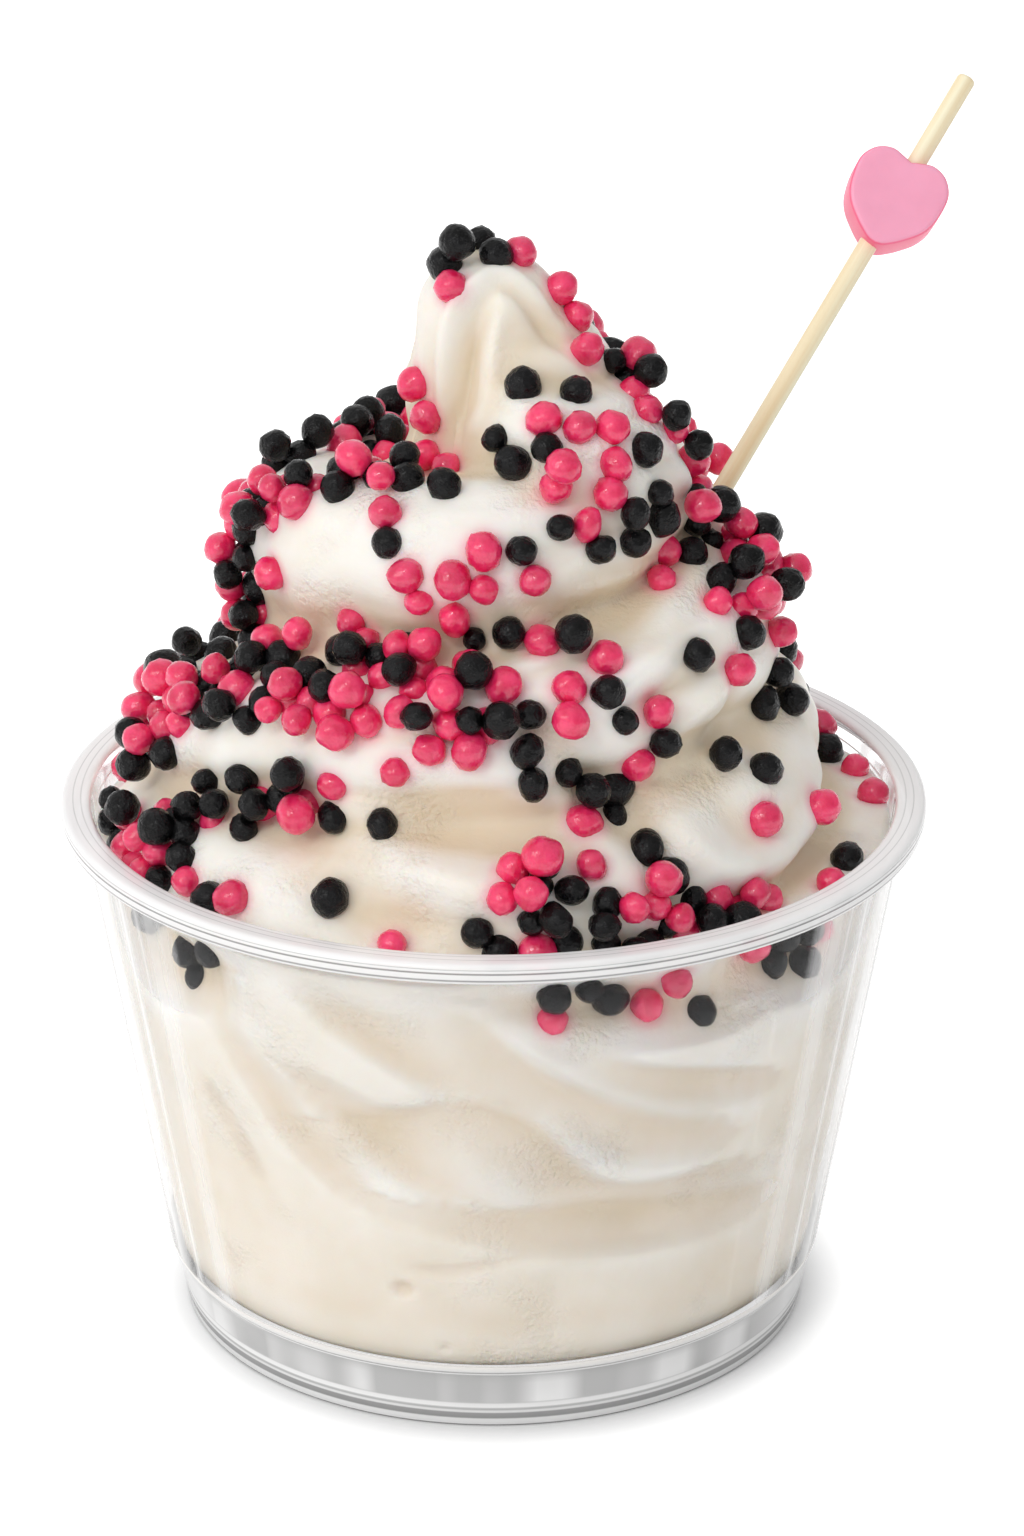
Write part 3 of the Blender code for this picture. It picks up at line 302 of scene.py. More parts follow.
# Grain of the materials: how many noise cells a metre holds, and relief in metres
CREAM_CLOUDS, CREAM_WETNESS, CREAM_ICE, CREAM_GRAIN, CREAM_RELIEF = 110, 75, 90, 1500, 0.0005
PEARL_MOTTLE, PEARL_WRINKLE, PEARL_RELIEF = 620, 1900, 0.0003
WOOD_GRAIN, WOOD_STRETCH, WOOD_RELIEF = 900, 0.03, 0.0002
HEART_GRAIN, HEART_RELIEF = 240, 0.0001
# WALL_FADE breaks up the painted reflection bands on the cup's wall
WALL_FADE, WALL_FADE_STRETCH = 55, 0.1
FOOT_PATCHES, FOOT_PATCH_DRIFT = 4.5, 0.0012    # painted sheen patches round the cup's foot, and their change with height
FOOT_LINES_TOP = LEDGE * 1.25                   # height where the foot's painted lines and shade are measured to

# Camera and light, in metres
CAMERA_DISTANCE = 0.5533
CAMERA_TILT = 22.46            # degrees it looks down
CAMERA_AIM = Vector((0.0021, 0.0, 0.0645))
CAMERA_LENS, CAMERA_SENSOR = 114.5, 36.0
FLOOR_HALF = 3.0
FLOOR_GLOW = 0.8
SHADE_FORWARD = 0.0014         # the foot's painted shadow lies this far towards the viewer
SKY_STRENGTH = 0.88
KEY_PLACE, KEY_SIZE, KEY_POWER = Vector((-0.80, -0.80, 0.70)), 0.45, 2.4
SPARKLE_PLACE, SPARKLE_SIZE, SPARKLE_POWER = Vector((-0.30, -0.70, 0.80)), 0.16, 1.1
LIGHTS_AIM = Vector((0, 0, 0.07))


def mesh_from(name, points, faces):
    """A mesh of points in millimetres."""
    made = bpy.data.meshes.new(name)
    made.from_pydata([tuple(c * MM for c in point) for point in points], [], faces)
    made.validate()
    return made


def carry(mesh, name, values):
    """Give a mesh a value on each of its points, for its material."""
    mesh.attributes.new(name, "FLOAT", "POINT").data.foreach_set("value", values)


def turned_mesh(name, profile, sides):
    """Turn a profile of (radius, height), which starts and ends on the axis, about Z."""
    inner = profile[1:-1]
    points = [(0, 0, profile[0][1]), (0, 0, profile[-1][1])]
    for radius, height in inner:
        for side in range(sides):
            turn = 2 * math.pi * side / sides
            points.append((radius * math.cos(turn), radius * math.sin(turn), height))
    faces = []
    last = 2 + (len(inner) - 1) * sides
    for side in range(sides):
        after = (side + 1) % sides
        faces.append((0, 2 + after, 2 + side))
        for ring in range(len(inner) - 1):
            low, high = 2 + ring * sides, 2 + (ring + 1) * sides
            faces.append((low + side, low + after, high + after, high + side))
        faces.append((1, last + side, last + after))
    return mesh_from(name, points, faces)


def wall_inside(height):
    """Radius of the cup's inner wall at a height."""
    taper = (WALL_TOP_RADIUS - WALL_LEDGE_RADIUS) / (LIP_BOTTOM - LEDGE)
    return WALL_LEDGE_RADIUS - WALL + taper * (height - LEDGE)


def smooth_curve(at, knots, values):
    """A smooth curve through knots and their values, read at the given places."""
    knots, values = np.asarray(knots, float), np.asarray(values, float)
    slopes = np.gradient(values, knots)
    i = np.clip(np.searchsorted(knots, at) - 1, 0, len(knots) - 2)
    span = knots[i + 1] - knots[i]
    t = np.clip((at - knots[i]) / span, 0.0, 1.0)
    start = values[i] * (1 + 2 * t) + slopes[i] * span * t
    end = values[i + 1] * (3 - 2 * t) + slopes[i + 1] * span * (t - 1)
    return start * (1 - t) ** 2 + end * t**2


def rope_sections(azimuths):
    """Each rope where it crosses the half plane of each azimuth, lap by lap."""
    sections = []
    for rope in ROPES:
        knots, middles, reaches, halves = np.array(rope, float).T
        for lap in range(-3, 2):
            along = azimuths + 360 * lap
            laid = (along >= knots[0]) & (along <= knots[-1])
            if laid.any():
                half = smooth_curve(along, knots, halves)
                centre = smooth_curve(along, knots, reaches) - half
                middle = smooth_curve(along, knots, middles)
                depth = smooth_curve(along, *np.array(RIDGE_DEPTH, float).T)
                sections.append((centre, middle, np.where(laid, half, -50.0), depth, along))
    return sections


def outside_by(sections, azimuth, radius, height):
    """How far points lie outside the soft serve, less than 0 inside it."""
    bank = BANK_RISE * np.exp(-(((np.degrees(azimuth) - BANK_AZIMUTH) / BANK_SPREAD) ** 2))
    fill = FILL_LEVEL + bank - FILL_SLOPE * (radius - FILL_RADIUS)
    pull = np.exp(-(height - fill) / FILL_BLEND)
    core = np.full(azimuth.shape, -np.inf)
    for low, high in zip(CORE, CORE[1:]):
        run, rise = high[0] - low[0], high[1] - low[1]
        beyond = (radius - low[0]) * rise - (height - low[1]) * run
        core = np.maximum(core, beyond / math.hypot(run, rise))
    pull = pull + np.exp(-core / BLEND)
    side = radius * np.sin(azimuth) - PEAK_OFFSET
    front = radius * np.cos(azimuth)
    above = height - np.clip(height, PEAK_FOOT, PEAK_BALL)
    peak = PEAK_RADIUS - PEAK_TAPER * np.maximum(height - PEAK_TAPER_FROM, 0)
    pull = pull + np.exp(-(np.sqrt(side**2 + front**2 + above**2) - peak) / BLEND)
    for centre, middle, half, depth, along in sections:
        across, up = radius - centre, height - middle
        lobes = np.abs(np.cos(np.arctan2(up, across) * RIDGES / 2 + np.radians(along) * RIDGE_TWIST))
        skin = half * (1 + depth * (lobes - 0.6))
        pull = pull + np.exp(-(np.hypot(across, up) - skin) / BLEND)
    return np.maximum(-BLEND * np.log(pull), radius - wall_inside(height))


def look_in(azimuth, aim_radius, aim_height, tilt):
    """Where rays that come in from outside meet the soft serve: radius and height."""
    sections = rope_sections(np.degrees(azimuth[0]))
    out, up = np.cos(tilt), np.sin(tilt)
    root = aim_height - aim_radius * up / out
    start = RAY_START / np.maximum(out, 0.35)
    inside, outside = np.zeros(azimuth.shape), start.copy()
    found = np.zeros(azimuth.shape, bool)
    before = start
    for step in range(1, RAY_STEPS + 1):
        now = start * (1 - step / RAY_STEPS)
        met = (outside_by(sections, azimuth, now * out, root + now * up) < 0) & ~found
        inside, outside = np.where(met, now, inside), np.where(met, before, outside)
        found |= met
        before = now
    for _ in range(RAY_HALVINGS):
        middle = (inside + outside) / 2
        under = outside_by(sections, azimuth, middle * out, root + middle * up) < 0
        inside, outside = np.where(under, middle, inside), np.where(under, outside, middle)
    return inside * out, root + inside * up


def raise_folds(azimuth, radius, height, folds, out, up):
    """Push the skin out along ridges and in along creases, which fade at their ends."""
    sine, cosine = np.sin(azimuth), np.cos(azimuth)
    x, y = radius * sine, -radius * cosine
    push = np.zeros(azimuth.shape)
    columns = azimuth.shape[1]
    for above, below, lift, points in folds.values():
        knots = np.arange(len(points))
        fine = np.linspace(0, len(points) - 1, (len(points) - 1) * FOLD_STEPS + 1)
        turns, heights = (smooth_curve(fine, knots, values) for values in zip(*points))
        on = np.round((turns / 360 + 0.5) * columns).astype(int) % columns
        rows = np.argmin(np.abs(height[:, on] - heights), axis=0)
        line = np.stack((x[rows, on], y[rows, on], height[rows, on]), axis=1)
        for _ in range(FOLD_SMOOTHING):
            line[1:-1] = (line[:-2] + 2 * line[1:-1] + line[2:]) / 4
        strength = np.sin(np.pi * (np.arange(len(line) - 1) + 0.5) / (len(line) - 1)) ** 0.5
        most = np.zeros(azimuth.shape)
        for start, end, share in zip(line[:-1], line[1:], strength):
            run = end - start
            dx, dy, dz = x - start[0], y - start[1], height - start[2]
            t = np.clip((dx * run[0] + dy * run[1] + dz * run[2]) / max(run @ run, 1e-9), 0, 1)
            away = (dx - t * run[0]) ** 2 + (dy - t * run[1]) ** 2 + (dz - t * run[2]) ** 2
            side = dz * (sine * run[1] + cosine * run[0]) - (dx * cosine + dy * sine) * run[2]
            most = np.maximum(most, share * np.exp(-away / np.where(side > 0, above, below) ** 2))
        push += lift * most
    return radius + push * out, height + push * up


def cream_skin(columns, rows):
    """A grid of the skin: azimuth in radians, radius and height, from floor to tip."""
    aim = np.array(AIM, float)
    lengths = np.concatenate(([0], np.cumsum(np.hypot(*np.diff(aim, axis=0).T))))
    along = np.linspace(0, lengths[-1], rows)
    aim_radius = np.interp(along, lengths, aim[:, 0])
    aim_height = np.interp(along, lengths, aim[:, 1])
    turns = np.linspace(-math.pi, math.pi, columns, endpoint=False)
    azimuth, aim_radius = np.meshgrid(turns, aim_radius)
    aim_height = np.repeat(aim_height[:, None], columns, axis=1)
    rise = np.clip((aim_height - TILT_FROM) / (TILT_TO - TILT_FROM), 0, 1) ** 1.5
    tilt = np.radians(TILT_LOW + (TILT_HIGH - TILT_LOW) * rise)
    radius, height = wall_inside(aim_height), aim_height.copy()
    free = slice(int(np.argmax(aim_height[:, 0] >= AIM_WALL_TOP)), None)
    radius[free], height[free] = look_in(azimuth[free], aim_radius[free], aim_height[free], tilt[free])
    tilt = np.where(aim_height >= AIM_WALL_TOP, tilt, 0.0)
    radius, height = raise_folds(azimuth, radius, height, SWIRL_FOLDS, np.cos(tilt), np.sin(tilt))
    radius, height = raise_folds(azimuth, radius, height, WALL_FOLDS, 1.0, 0.0)
    return azimuth, np.clip(radius, 0.0, wall_inside(height) - GAP), height


def skin_points(skin):
    """The grid's points, rows by columns by three."""
    azimuth, radius, height = skin
    return np.stack((radius * np.sin(azimuth), -radius * np.cos(azimuth), height), axis=2)


def pearl_spots(skin):
    """Pearls along their strings and trails, each as put_pearl adds it."""
    points = skin_points(skin)
    draw = np.random.default_rng(PEARL_SEED)
    pearls = []
    for colours, spots in PEARL_STRINGS.values():
        turns, levels = grid_places(points, spots)
        for colour, turn, level in zip(colours, turns, levels):
            put_pearl(pearls, points, turn, level, pearl_radius(draw), colour == "p")
    for width, count, pink_share, route in PEARL_TRAILS.values():
        turns, levels = grid_places(points, route)
        for number in range(count):
            pink = draw.uniform() < pink_share
            radius = pearl_radius(draw)
            for place in (number + draw.uniform(size=PEARL_TRIES)) * (len(route) - 1) / count:
                turn, level = (np.interp(place, range(len(route)), on) for on in (turns, levels))
                aside, up = draw.normal(size=2) * width * 0.6
                around = max(math.hypot(*points[int(level), 0, :2]), 8.0)
                if put_pearl(pearls, points, turn + math.degrees(aside / around), level + up, radius, pink):
                    break
    return pearls


def grid_places(points, spots):
    """Azimuths of spots and the grid rows of their heights."""
    turns, heights = np.array(spots, float).T
    columns = np.round((turns / 360 + 0.5) * points.shape[1]).astype(int) % points.shape[1]
    return turns, np.argmin(np.abs(points[:, columns, 2] - heights), axis=0)


def pearl_radius(draw):
    """A pearl's radius, by chance."""
    return float(np.clip(draw.normal(PEARL_MEAN, PEARL_SPREAD), PEARL_SMALL, PEARL_LARGE))


def put_pearl(pearls, points, turn, level, radius, pink):
    """Add a pearl where there is room: centre, way out of the skin, radius, pink, on the skin."""
    spot, outward = skin_spot(points, turn, level)
    centres = [spot + outward * radius * lift for lift in PEARL_LIFTS]
    free = [fits(centre, radius, pearls) for centre in centres]
    if any(free):
        lowest = free.index(True)
        pearls.append((centres[lowest], outward, radius, pink, lowest == 0))
    return any(free)


def skin_spot(points, turn, row):
    """A point of the skin and the direction out of it, from an azimuth and a grid row."""
    rows, columns = points.shape[:2]
    row = min(max(row, 2.0), rows - 3.0)
    column = (turn / 360 + 0.5) * columns
    r, c = int(row), int(math.floor(column))
    fr, fc = row - r, column - c
    c, after = c % columns, (c + 1) % columns
    low = points[r, c] * (1 - fc) + points[r, after] * fc
    high = points[r + 1, c] * (1 - fc) + points[r + 1, after] * fc
    around = points[r, (c + 2) % columns] - points[r, (c - 2) % columns]
    upward = points[min(r + 2, rows - 1), c] - points[r - 2, c]
    outward = np.cross(around, upward)
    return low * (1 - fr) + high * fr, outward / max(np.linalg.norm(outward), 1e-9)


def fits(centre, radius, pearls):
    """Whether a pearl stays off the others, the cup's wall and the pick."""
    if math.hypot(centre[0], centre[1]) + radius > wall_inside(min(centre[2], LIP_TOP)) - GAP:
        return False
    if centre[2] < LIP_TOP + radius and math.hypot(centre[0], centre[1]) + radius > LIP_INNER_RADIUS - GAP:
        return False
    from_entry = Vector(centre) - PICK_ENTRY
    off_pick = (from_entry - PICK_LEAN * from_entry.dot(PICK_LEAN)).length
    if off_pick < radius + PICK_DIAMETER / 2 + 2 * GAP:
        return False
    return all(np.linalg.norm(centre - other[0]) > PEARL_CROWDING * (radius + other[2]) for other in pearls)


def pick_placing():
    """The pick's own frame: its foot at the origin, its length along Z."""
    foot = (PICK_ENTRY - PICK_LEAN * PICK_SUNK) * MM
    return Matrix.Translation(foot) @ PICK_LEAN.to_track_quat("Z", "Y").to_matrix().to_4x4()


def show(name, mesh, coat, stands_for):
    """Put a finished mesh in the scene as the piece that stands for a solid."""
    made = bpy.data.objects.new(name, mesh)
    bpy.context.scene.collection.objects.link(made)
    made.location.x += CUP_AXIS_X * MM
    mesh.materials.append(coat)
    mesh.shade_smooth()
    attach(made, "root")
    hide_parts(stands_for)
    return made


# ---------------------------------------------------------------- materials


BLACK, WHITE = (0.0, 0.0, 0.0), (1.0, 1.0, 1.0)


def grey(level):
    """A colour without hue."""
    return level, level, level


def new_material(name, **constants):
    """A material, its node tree and its Principled shader, with plain values set on it."""
    made = bpy.data.materials.new(name)
    made.use_nodes = True
    shader = made.node_tree.nodes["Principled BSDF"]
    for socket, value in constants.items():
        shader.inputs[socket.replace("_", " ")].default_value = value
    return made, made.node_tree, shader


def connect(tree, source, target):
    """Feed an input from an output, or set it to a plain number or colour."""
    if isinstance(source, bpy.types.NodeSocket):
        tree.links.new(source, target)
    elif isinstance(source, tuple) and len(source) == 3 and target.type == "RGBA":
        target.default_value = (*source, 1.0)
    else:
        target.default_value = source


def mottle_group():
    """Noise that turns one colour into another, with the same noise as a height."""
    tree = bpy.data.node_groups.new("mottle", "ShaderNodeTree")
    sockets = (
        ("Vector", "NodeSocketVector"), ("Scale", "NodeSocketFloat"), ("Detail", "NodeSocketFloat"),
        ("Low", "NodeSocketFloat"), ("High", "NodeSocketFloat"),
        ("Dark", "NodeSocketColor"), ("Light", "NodeSocketColor"),
    )
    for name, kind in sockets:
        tree.interface.new_socket(name=name, in_out="INPUT", socket_type=kind)
    tree.interface.new_socket(name="Color", in_out="OUTPUT", socket_type="NodeSocketColor")
    tree.interface.new_socket(name="Height", in_out="OUTPUT", socket_type="NodeSocketFloat")
    given = tree.nodes.new("NodeGroupInput").outputs
    result = tree.nodes.new("NodeGroupOutput").inputs
    noise = tree.nodes.new("ShaderNodeTexNoise")
    for name in ("Vector", "Scale", "Detail"):
        tree.links.new(given[name], noise.inputs[name])
    spread = tree.nodes.new("ShaderNodeMapRange")
    tree.links.new(noise.outputs["Fac"], spread.inputs["Value"])
    tree.links.new(given["Low"], spread.inputs["From Min"])
    tree.links.new(given["High"], spread.inputs["From Max"])
    tree.links.new(mix(tree, spread.outputs["Result"], given["Dark"], given["Light"]), result["Color"])
    tree.links.new(noise.outputs["Fac"], result["Height"])
    return tree


def mottle(tree, place, scale, dark, light, low=0.35, high=0.65, detail=3.0):
    """Place the mottle group: its colour and its height."""
    node = tree.nodes.new("ShaderNodeGroup")
    node.node_tree = bpy.data.node_groups.get("mottle") or mottle_group()
    names = "Vector", "Scale", "Detail", "Low", "High", "Dark", "Light"
    for name, value in zip(names, (place, scale, detail, low, high, dark, light)):
        connect(tree, value, node.inputs[name])
    return node.outputs["Color"], node.outputs["Height"]


def own_place(tree, stretch=(1, 1, 1)):
    """The piece's own coordinates in metres, stretched."""
    place = tree.nodes.new("ShaderNodeTexCoord")
    node = tree.nodes.new("ShaderNodeMapping")
    node.inputs["Scale"].default_value = stretch
    tree.links.new(place.outputs["Object"], node.inputs["Vector"])
    return node.outputs["Vector"]


def attribute(tree, name):
    """A value that the mesh carries on its points."""
    node = tree.nodes.new("ShaderNodeAttribute")
    node.attribute_name = name
    return node


def ramp(tree, source, *stops):
    """Colours, or grey levels, at places from 0 to 1."""
    node = tree.nodes.new("ShaderNodeValToRGB")
    tree.links.new(source, node.inputs["Fac"])
    elements = node.color_ramp.elements
    while len(elements) < len(stops):
        elements.new(0.5)
    for element, (place, colour) in zip(elements, stops):
        element.position = place
        element.color = (*(colour if isinstance(colour, tuple) else grey(colour)), 1.0)
    return node.outputs["Color"]


def mix(tree, factor, first, second, mode="MIX"):
    """Mix two colours, each an output or a plain colour."""
    node = tree.nodes.new("ShaderNodeMix")
    node.data_type = "RGBA"
    node.blend_type = mode
    node.clamp_result = True
    for slot, value in ((0, factor), (6, first), (7, second)):
        connect(tree, value, node.inputs[slot])
    return node.outputs[2]


def math_node(tree, kind, *values):
    """Arithmetic on outputs and plain numbers."""
    node = tree.nodes.new("ShaderNodeMath")
    node.operation = kind
    node.use_clamp = True
    for slot, value in zip(node.inputs, values):
        connect(tree, value, slot)
    return node.outputs[0]


def bump(tree, shader, height, distance, strength=1.0):
    """Fine relief from a height."""
    node = tree.nodes.new("ShaderNodeBump")
    node.inputs["Distance"].default_value = distance
    connect(tree, strength, node.inputs["Strength"])
    tree.links.new(height, node.inputs["Height"])
    tree.links.new(node.outputs["Normal"], shader.inputs["Normal"])


def cream_material():
    """Frozen cream: painted shade, darker and warmer, in its folds, icy grained in patches, stained round the
    pink pearls.
    """
    made, tree, shader = new_material(
        "soft_serve_cream", Subsurface_Weight=0.3, Subsurface_Radius=(1.0, 0.6, 0.35),
        Subsurface_Scale=0.0025, Specular_IOR_Level=0.35,
    )
    # painted shade: the fold value darkens and warms the cream in creases and lightens it on crests
    tone = ramp(
        tree, attribute(tree, "fold").outputs["Fac"], (0.0, (0.82, 0.71, 0.55)), (0.3, (0.89, 0.80, 0.68)),
        (0.5, (0.905, 0.835, 0.73)), (0.75, (0.94, 0.90, 0.825)), (1.0, (0.96, 0.93, 0.88)),
    )
    place = own_place(tree)
    clouds, _ = mottle(tree, place, CREAM_CLOUDS, (0.94, 0.92, 0.88), WHITE)
    tone = mix(tree, 1.0, tone, clouds, "MULTIPLY")
    tone = mix(tree, attribute(tree, "stain").outputs["Fac"], tone, (0.95, 0.34, 0.45))
    tree.links.new(tone, shader.inputs["Base Color"])
    wet, _ = mottle(tree, place, CREAM_WETNESS, grey(0.56), grey(0.30), 0.45, 0.6)
    tree.links.new(wet, shader.inputs["Roughness"])
    icy, _ = mottle(tree, place, CREAM_ICE, grey(0.10), WHITE, 0.5, 0.64, 4)
    _, grain = mottle(tree, place, CREAM_GRAIN, BLACK, WHITE, detail=4)
    bump(tree, shader, grain, CREAM_RELIEF, icy)
    return made


def pearl_material(name, dark, light, wrinkled, **constants):
    """A glossy sugar pearl, mottled and slightly wrinkled."""
    made, tree, shader = new_material(name, Coat_Roughness=0.06, Subsurface_Scale=0.0012, **constants)
    place = own_place(tree)
    tone, _ = mottle(tree, place, PEARL_MOTTLE, dark, light, detail=4)
    batch = ramp(tree, attribute(tree, "tone").outputs["Fac"], (0.0, 0.8), (1.0, 1.0))
    tree.links.new(mix(tree, 1.0, tone, batch, "MULTIPLY"), shader.inputs["Base Color"])
    _, wrinkle = mottle(tree, place, PEARL_WRINKLE, BLACK, WHITE)
    bump(tree, shader, wrinkle, PEARL_RELIEF, wrinkled)
    return made


def wood_material():
    """Pale wood with fine grain along the pick, browner where its grain is open."""
    made, tree, shader = new_material("pale_wood_grain", Roughness=0.5)
    place = own_place(tree, (1, 1, WOOD_STRETCH))
    tone, grain = mottle(tree, place, WOOD_GRAIN, (0.90, 0.71, 0.43), (1.0, 0.93, 0.68), 0.3, 0.62, 5)
    tree.links.new(tone, shader.inputs["Base Color"])
    bump(tree, shader, grain, WOOD_RELIEF, 0.4)
    return made


def heart_material():
    """Satin pink, paler on the flat faces than on the sides."""
    made, tree, shader = new_material(
        "heart_satin", Roughness=0.42, Subsurface_Weight=0.2,
        Subsurface_Radius=(1.0, 0.3, 0.3), Subsurface_Scale=0.001,
    )
    side = attribute(tree, "side").outputs["Fac"]
    tone = ramp(tree, side, (0.0, (1.0, 0.41, 0.58)), (1.0, (1.0, 0.16, 0.30)))
    cloud, grain = mottle(tree, own_place(tree), HEART_GRAIN, (0.95, 0.93, 0.94), WHITE)
    tree.links.new(mix(tree, 1.0, tone, cloud, "MULTIPLY"), shader.inputs["Base Color"])
    bump(tree, shader, grain, HEART_RELIEF, 0.25)
    return made


def shader_mix(tree, factor, first, second):
    """Mix two shaders."""
    node = tree.nodes.new("ShaderNodeMixShader")
    for source, slot in zip((factor, first, second), node.inputs):
        tree.links.new(source, slot)
    return node.outputs["Shader"]


def painted_edge_bands(tree, facing):
    """Painted reflection and refraction bands beside the cup's edges: how strong, and how light, as the wall
    turns away.
    """
    strength = ramp(
        tree, facing, (0.0, 0.0), (0.55, 0.01), (0.585, 0.50), (0.61, 0.45), (0.635, 0.15), (0.69, 0.30),
        (0.715, 0.80), (0.735, 0.35), (0.78, 0.60), (0.85, 0.90), (0.88, 0.60), (0.90, 0.90), (0.93, 0.75),
        (0.965, 0.60), (0.985, 0.85), (1.0, 0.9),
    )
    tone = ramp(
        tree, facing, (0.0, 0.85), (0.61, 0.90), (0.64, 0.50), (0.69, 0.55), (0.715, 0.95), (0.74, 0.50),
        (0.78, 0.72), (0.85, 0.95), (0.885, 0.80), (0.90, 0.30), (0.915, 0.35), (0.93, 0.90), (0.965, 0.90),
        (0.985, 0.32), (1.0, 0.28),
    )
    noise = tree.nodes.new("ShaderNodeTexNoise")
    tree.links.new(own_place(tree, (WALL_FADE_STRETCH, WALL_FADE_STRETCH, 1)), noise.inputs["Vector"])
    noise.inputs["Scale"].default_value = WALL_FADE
    noise.inputs["Detail"].default_value = 3.0
    fade = tree.nodes.new("ShaderNodeMapRange")
    tree.links.new(noise.outputs["Fac"], fade.inputs["Value"])
    for name, value in (("From Min", 0.40), ("From Max", 0.58), ("To Min", 0.65)):
        fade.inputs[name].default_value = value
    return math_node(tree, "MULTIPLY", strength, fade.outputs["Result"]), tone


def painted_lip_lines(tree):
    """Painted reflection and refraction lines along the lip: how strong, how light, and where there is a lip.
    """
    rim = attribute(tree, "rim").outputs["Fac"]
    strength = ramp(
        tree, rim, (0.0, 0.0), (0.01, 0.90), (0.30, 0.84), (0.42, 0.93), (0.93, 0.90), (0.96, 0.0),
    )
    tone = ramp(
        tree, rim, (0.0, 0.20), (0.015, 0.25), (0.03, 1.0), (0.085, 1.0), (0.095, 0.36), (0.11, 0.40),
        (0.125, 1.0), (0.205, 1.0), (0.215, 0.28), (0.235, 0.32), (0.25, 1.0), (0.285, 1.0), (0.30, 0.50),
        (0.315, 1.0), (0.46, 1.0), (0.60, 1.0), (0.615, 0.66), (0.635, 1.0), (0.74, 1.0), (0.755, 0.70),
        (0.78, 1.0), (0.88, 1.0), (0.90, 0.62), (0.93, 0.90),
    )
    return strength, tone, ramp(tree, rim, (0.0, 0.0), (0.005, 1.0), (0.95, 1.0), (0.96, 0.0))


def painted_foot_lines(tree, facing):
    """Painted reflection lines round the foot, and painted shade in its grey band, with painted sheen in pale
    patches between: how strong, how light, and where.
    """
    low = attribute(tree, "low").outputs["Fac"]
    strength = ramp(
        tree, low, (0.0, 0.90), (0.32, 0.88), (0.34, 0.86), (0.70, 0.88), (0.73, 0.92), (0.87, 0.90),
        (0.90, 0.0),
    )
    tone = ramp(
        tree, low, (0.0, 0.05), (0.02, 0.08), (0.032, 0.86), (0.105, 0.84), (0.12, 0.26), (0.185, 0.30),
        (0.20, 0.85), (0.22, 0.80), (0.235, 0.45), (0.25, 0.50), (0.27, 0.97), (0.315, 0.94), (0.335, 0.50),
        (0.60, 0.47), (0.70, 0.44), (0.725, 0.46), (0.735, 0.98), (0.755, 0.98), (0.765, 0.36), (0.78, 0.40),
        (0.795, 0.90), (0.86, (0.92, 0.89, 0.85)), (0.875, (0.78, 0.75, 0.72)), (0.89, (0.90, 0.86, 0.80)),
    )
    unrolled = attribute(tree, "unrolled").outputs["Vector"]
    patches, _ = mottle(tree, unrolled, FOOT_PATCHES, BLACK, WHITE, 0.46, 0.62, 1)
    # painted sheen: the foot's grey band turns pale towards its sides and in patches
    pale = math_node(tree, "MAXIMUM", ramp(tree, facing, (0.55, 0.0), (0.76, 1.0)), patches)
    band = ramp(tree, low, (0.32, 0.0), (0.345, 0.9), (0.60, 0.7), (0.725, 0.25), (0.735, 0.0))
    tone = mix(tree, math_node(tree, "MULTIPLY", pale, band), tone, WHITE)
    return strength, tone, ramp(tree, low, (0.89, 1.0), (0.90, 0.0))


def clear_material():
    """Clear plastic with painted reflections and painted shade: white lines and grey bands follow its lip,
    its foot and its edges.
    """
    made, tree, shader = new_material("clear_plastic_painted_lines", Roughness=0.2, Specular_IOR_Level=0.5)
    weight = tree.nodes.new("ShaderNodeLayerWeight")
    weight.inputs["Blend"].default_value = 0.5
    facing = weight.outputs["Facing"]
    edge, edge_tone = painted_edge_bands(tree, facing)
    lip, lip_tone, is_lip = painted_lip_lines(tree)
    foot, foot_tone, is_foot = painted_foot_lines(tree, facing)
    tone = mix(tree, is_foot, edge_tone, foot_tone)
    tree.links.new(mix(tree, is_lip, tone, lip_tone), shader.inputs["Base Color"])
    painted_lines_share = math_node(tree, "MAXIMUM", edge, math_node(tree, "MAXIMUM", foot, lip))
    clear = tree.nodes.new("ShaderNodeBsdfTransparent")
    clear.inputs["Color"].default_value = (0.99, 0.99, 0.995, 1.0)
    gloss = tree.nodes.new("ShaderNodeBsdfGlossy")
    gloss.inputs["Roughness"].default_value = 0.05
    glint = ramp(tree, facing, (0.0, 0.004), (0.55, 0.012), (0.75, 0.05), (1.0, 0.3))
    body = shader_mix(tree, glint, clear.outputs["BSDF"], gloss.outputs["BSDF"])
    whole = shader_mix(tree, painted_lines_share, body, shader.outputs["BSDF"])
    tree.links.new(whole, tree.nodes["Material Output"].inputs["Surface"])
    return made


